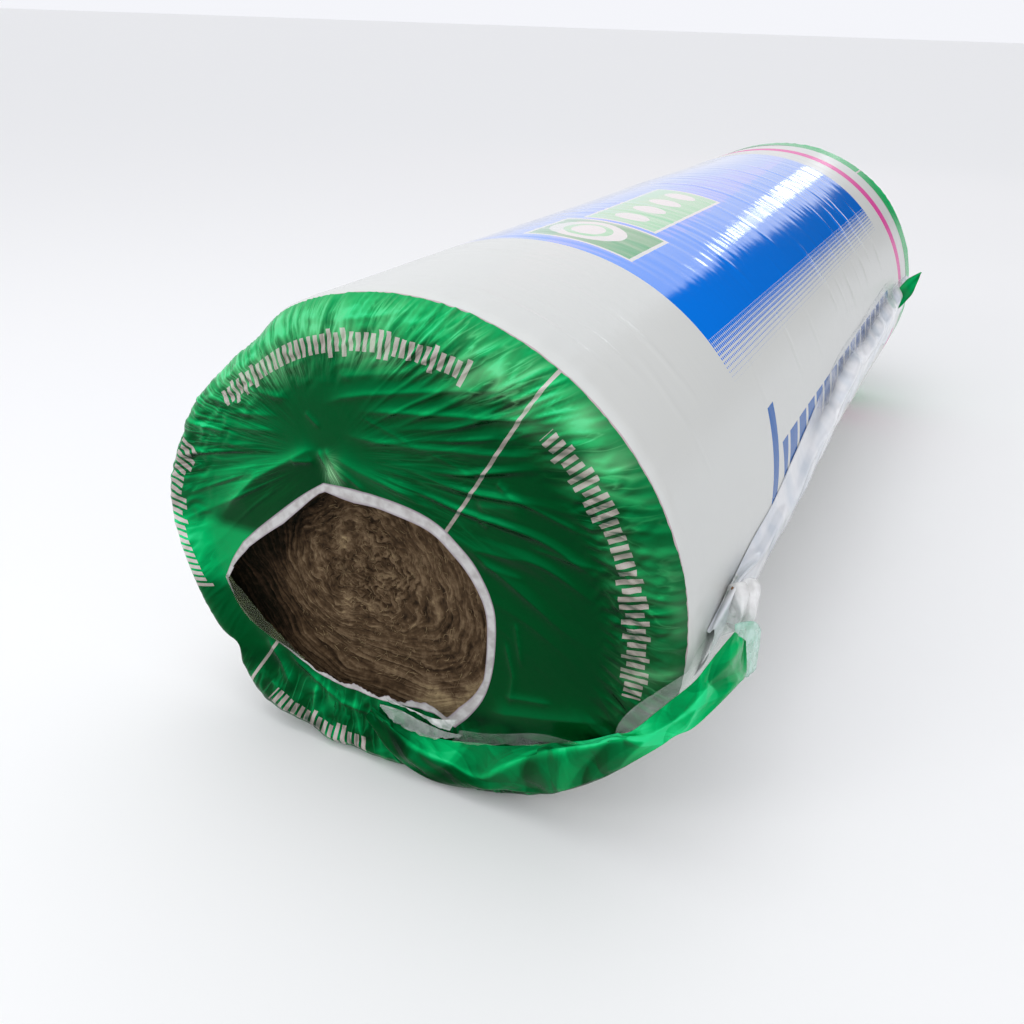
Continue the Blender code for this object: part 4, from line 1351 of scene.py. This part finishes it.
def makeLooseSheet(name, look, crumpleMm, edgeOne, edgeTwo, seed):
    rows, columns = 90, 14
    one, two = (smoothCurve(np.array(edge) / 1000, rows) for edge in (edgeOne, edgeTwo))
    share = np.linspace(0, 1, columns)[None, :, None]
    points = mixed(one[:, None], two[:, None], share)
    along = np.linspace(0, 1, rows)[:, None] * np.linalg.norm(one[-1] - one[0])
    width = np.linalg.norm(two - one, axis=1).mean()
    crushed = crumple(along / 0.012, share[..., 0] * width / 0.010, seed) - 0.5
    pinned = smoothStep(0, 0.2, share[..., 0]) * smoothStep(1, 0.8, share[..., 0])
    points = points + gridNormals(points) * (crushed * pinned * crumpleMm / 1000)[..., None]
    ragged = 0.0016 * layeredNoise(along / 0.006, 0.5, seed + 3, 2)
    points[..., 2] += ragged * share[..., 0] * (1 if look != "clear" else 0.3)
    atEdges = smoothStep(0.85, 1.0, share[..., 0]) + smoothStep(0.15, 0, share[..., 0])
    milk = np.clip(0.72 + 0.6 * crushed + 0.25 * atEdges, 0, 1.25)
    dress(filmRibbon(name, points, {"milk": milk}, sheetThickness), clearSheets[look], "printed_film")


for index, sheet in enumerate(looseSheets):
    makeLooseSheet(*sheet, 500 + 10 * index)

# crumpled white loop where the flap's end was pulled through, and the green tip at the far end of the fin
loop = {
    "middle": (0.2330, -0.4960, 0.1715), "reach": (0.0140, 0.0220, 0.0205),
    "rows": 80, "columns": 96, "outermost": 0.2510, "seed": 601,
    "tones": [(0.3, "#d3d2d0"), (0.7, "#f4f4f3")], "grainMm": 11.1,
    # specks of dirt: middle, radius, colour
    "specks": [((0.2265, -0.5035, 0.1860), 0.0026, "#8a5a2c"), ((0.2330, -0.4920, 0.1570), 0.0016, "#2a2826")],
}
tip = {
    "rows": 80, "columns": 12, "thickness": 0.0005, "length": 0.22,
    "upper": [(0.2219, 0.3700, 0.1935), (0.2226, 0.3950, 0.2020), (0.2225, 0.4300, 0.2160),
              (0.2295, 0.4650, 0.2270), (0.2430, 0.5010, 0.2313)],
    "lower": [(0.2231, 0.3650, 0.1862), (0.2265, 0.3850, 0.1960), (0.2353, 0.4250, 0.2011),
              (0.2422, 0.4650, 0.2146), (0.2438, 0.5000, 0.2300)],
}


# crumpled white polyethylene: lighter on the raised parts of its bump and soft grey in the low parts as
# painted light and shade, with a few specks of dirt
def loopFilm():
    spec = loop
    material, tree, surface = newMaterial("crumpledWhitePolyethylene", 0.22, ior=1.51)
    place = addNode(tree, "TexCoord", output="Object")
    cloud = addNode(tree, "TexNoise", {"Vector": place, "Scale": 1000 / spec["grainMm"], "Detail": 4.0})
    colour = setStops(addNode(tree, "ValToRGB", [cloud]), spec["tones"])
    for middle, radius, dirt in spec["specks"]:
        off = addNode(tree, "VectorMath", [place, middle], "Value", operation="DISTANCE")
        ragged = addNode(tree, "Math", [cloud, 0.009, off], operation="MULTIPLY_ADD")
        inside = addNode(tree, "Math", [ragged, radius + 0.0045], operation="LESS_THAN")
        colour = addNode(tree, mixNode, {0: inside, 6: colour, 7: linear(dirt)}, **asColour)
    tree.links.new(colour, surface.inputs["Base Color"])
    bump = addNode(tree, "Bump", {"Height": cloud, "Strength": 0.4, "Distance": 0.0015})
    tree.links.new(bump, surface.inputs["Normal"])
    return material


def makeLoop(material):
    spec = loop
    polar = np.linspace(0, math.pi, spec["rows"])[:, None]
    around = fullTurn * np.arange(spec["columns"])[None, :] / spec["columns"]
    level = np.sin(polar)
    normal = np.stack([level * np.cos(around), np.cos(polar) + 0 * around, level * np.sin(around)], -1)
    a, b = normal[..., 0] * 1.3 + normal[..., 1] * 1.6, normal[..., 2] * 1.7 - normal[..., 1] * 0.8
    lump = 0.62 + 0.56 * crumple(a, b, spec["seed"], 4) + 0.12 * latticeNoise(a, b, spec["seed"] + 1)
    points = np.array(spec["middle"]) + normal * np.array(spec["reach"]) * lump[..., None]
    points[..., 0] = np.clip(points[..., 0], halfWidth - 0.002, spec["outermost"])
    dress(gridMesh("film_white_loop", points), material, "printed_film")


def makeTip(material):
    spec = tip
    upper, lower = (smoothCurve(spec[edge], spec["rows"]) for edge in ("upper", "lower"))
    share = np.linspace(0, 1, spec["columns"])[None, :]
    points = mixed(upper[:, None], lower[:, None], share[..., None])
    along = np.linspace(0, spec["length"], spec["rows"])[:, None]
    wave = 0.0022 * latticeNoise(along / 0.05, share * 1.4, 651)
    points[..., 0] += wave * smoothStep(0, 0.06, along)
    tone = 0.60 + 0.24 * latticeNoise(along / 0.07, share * 2.2, 652)
    made = filmRibbon("film_fin_tip", points, {"filmTone": np.clip(tone, 0, 1.3)}, spec["thickness"])
    dress(made, material, "printed_film")


makeLoop(loopFilm())
makeTip(greenFilm)

bpy.context.view_layer.update()
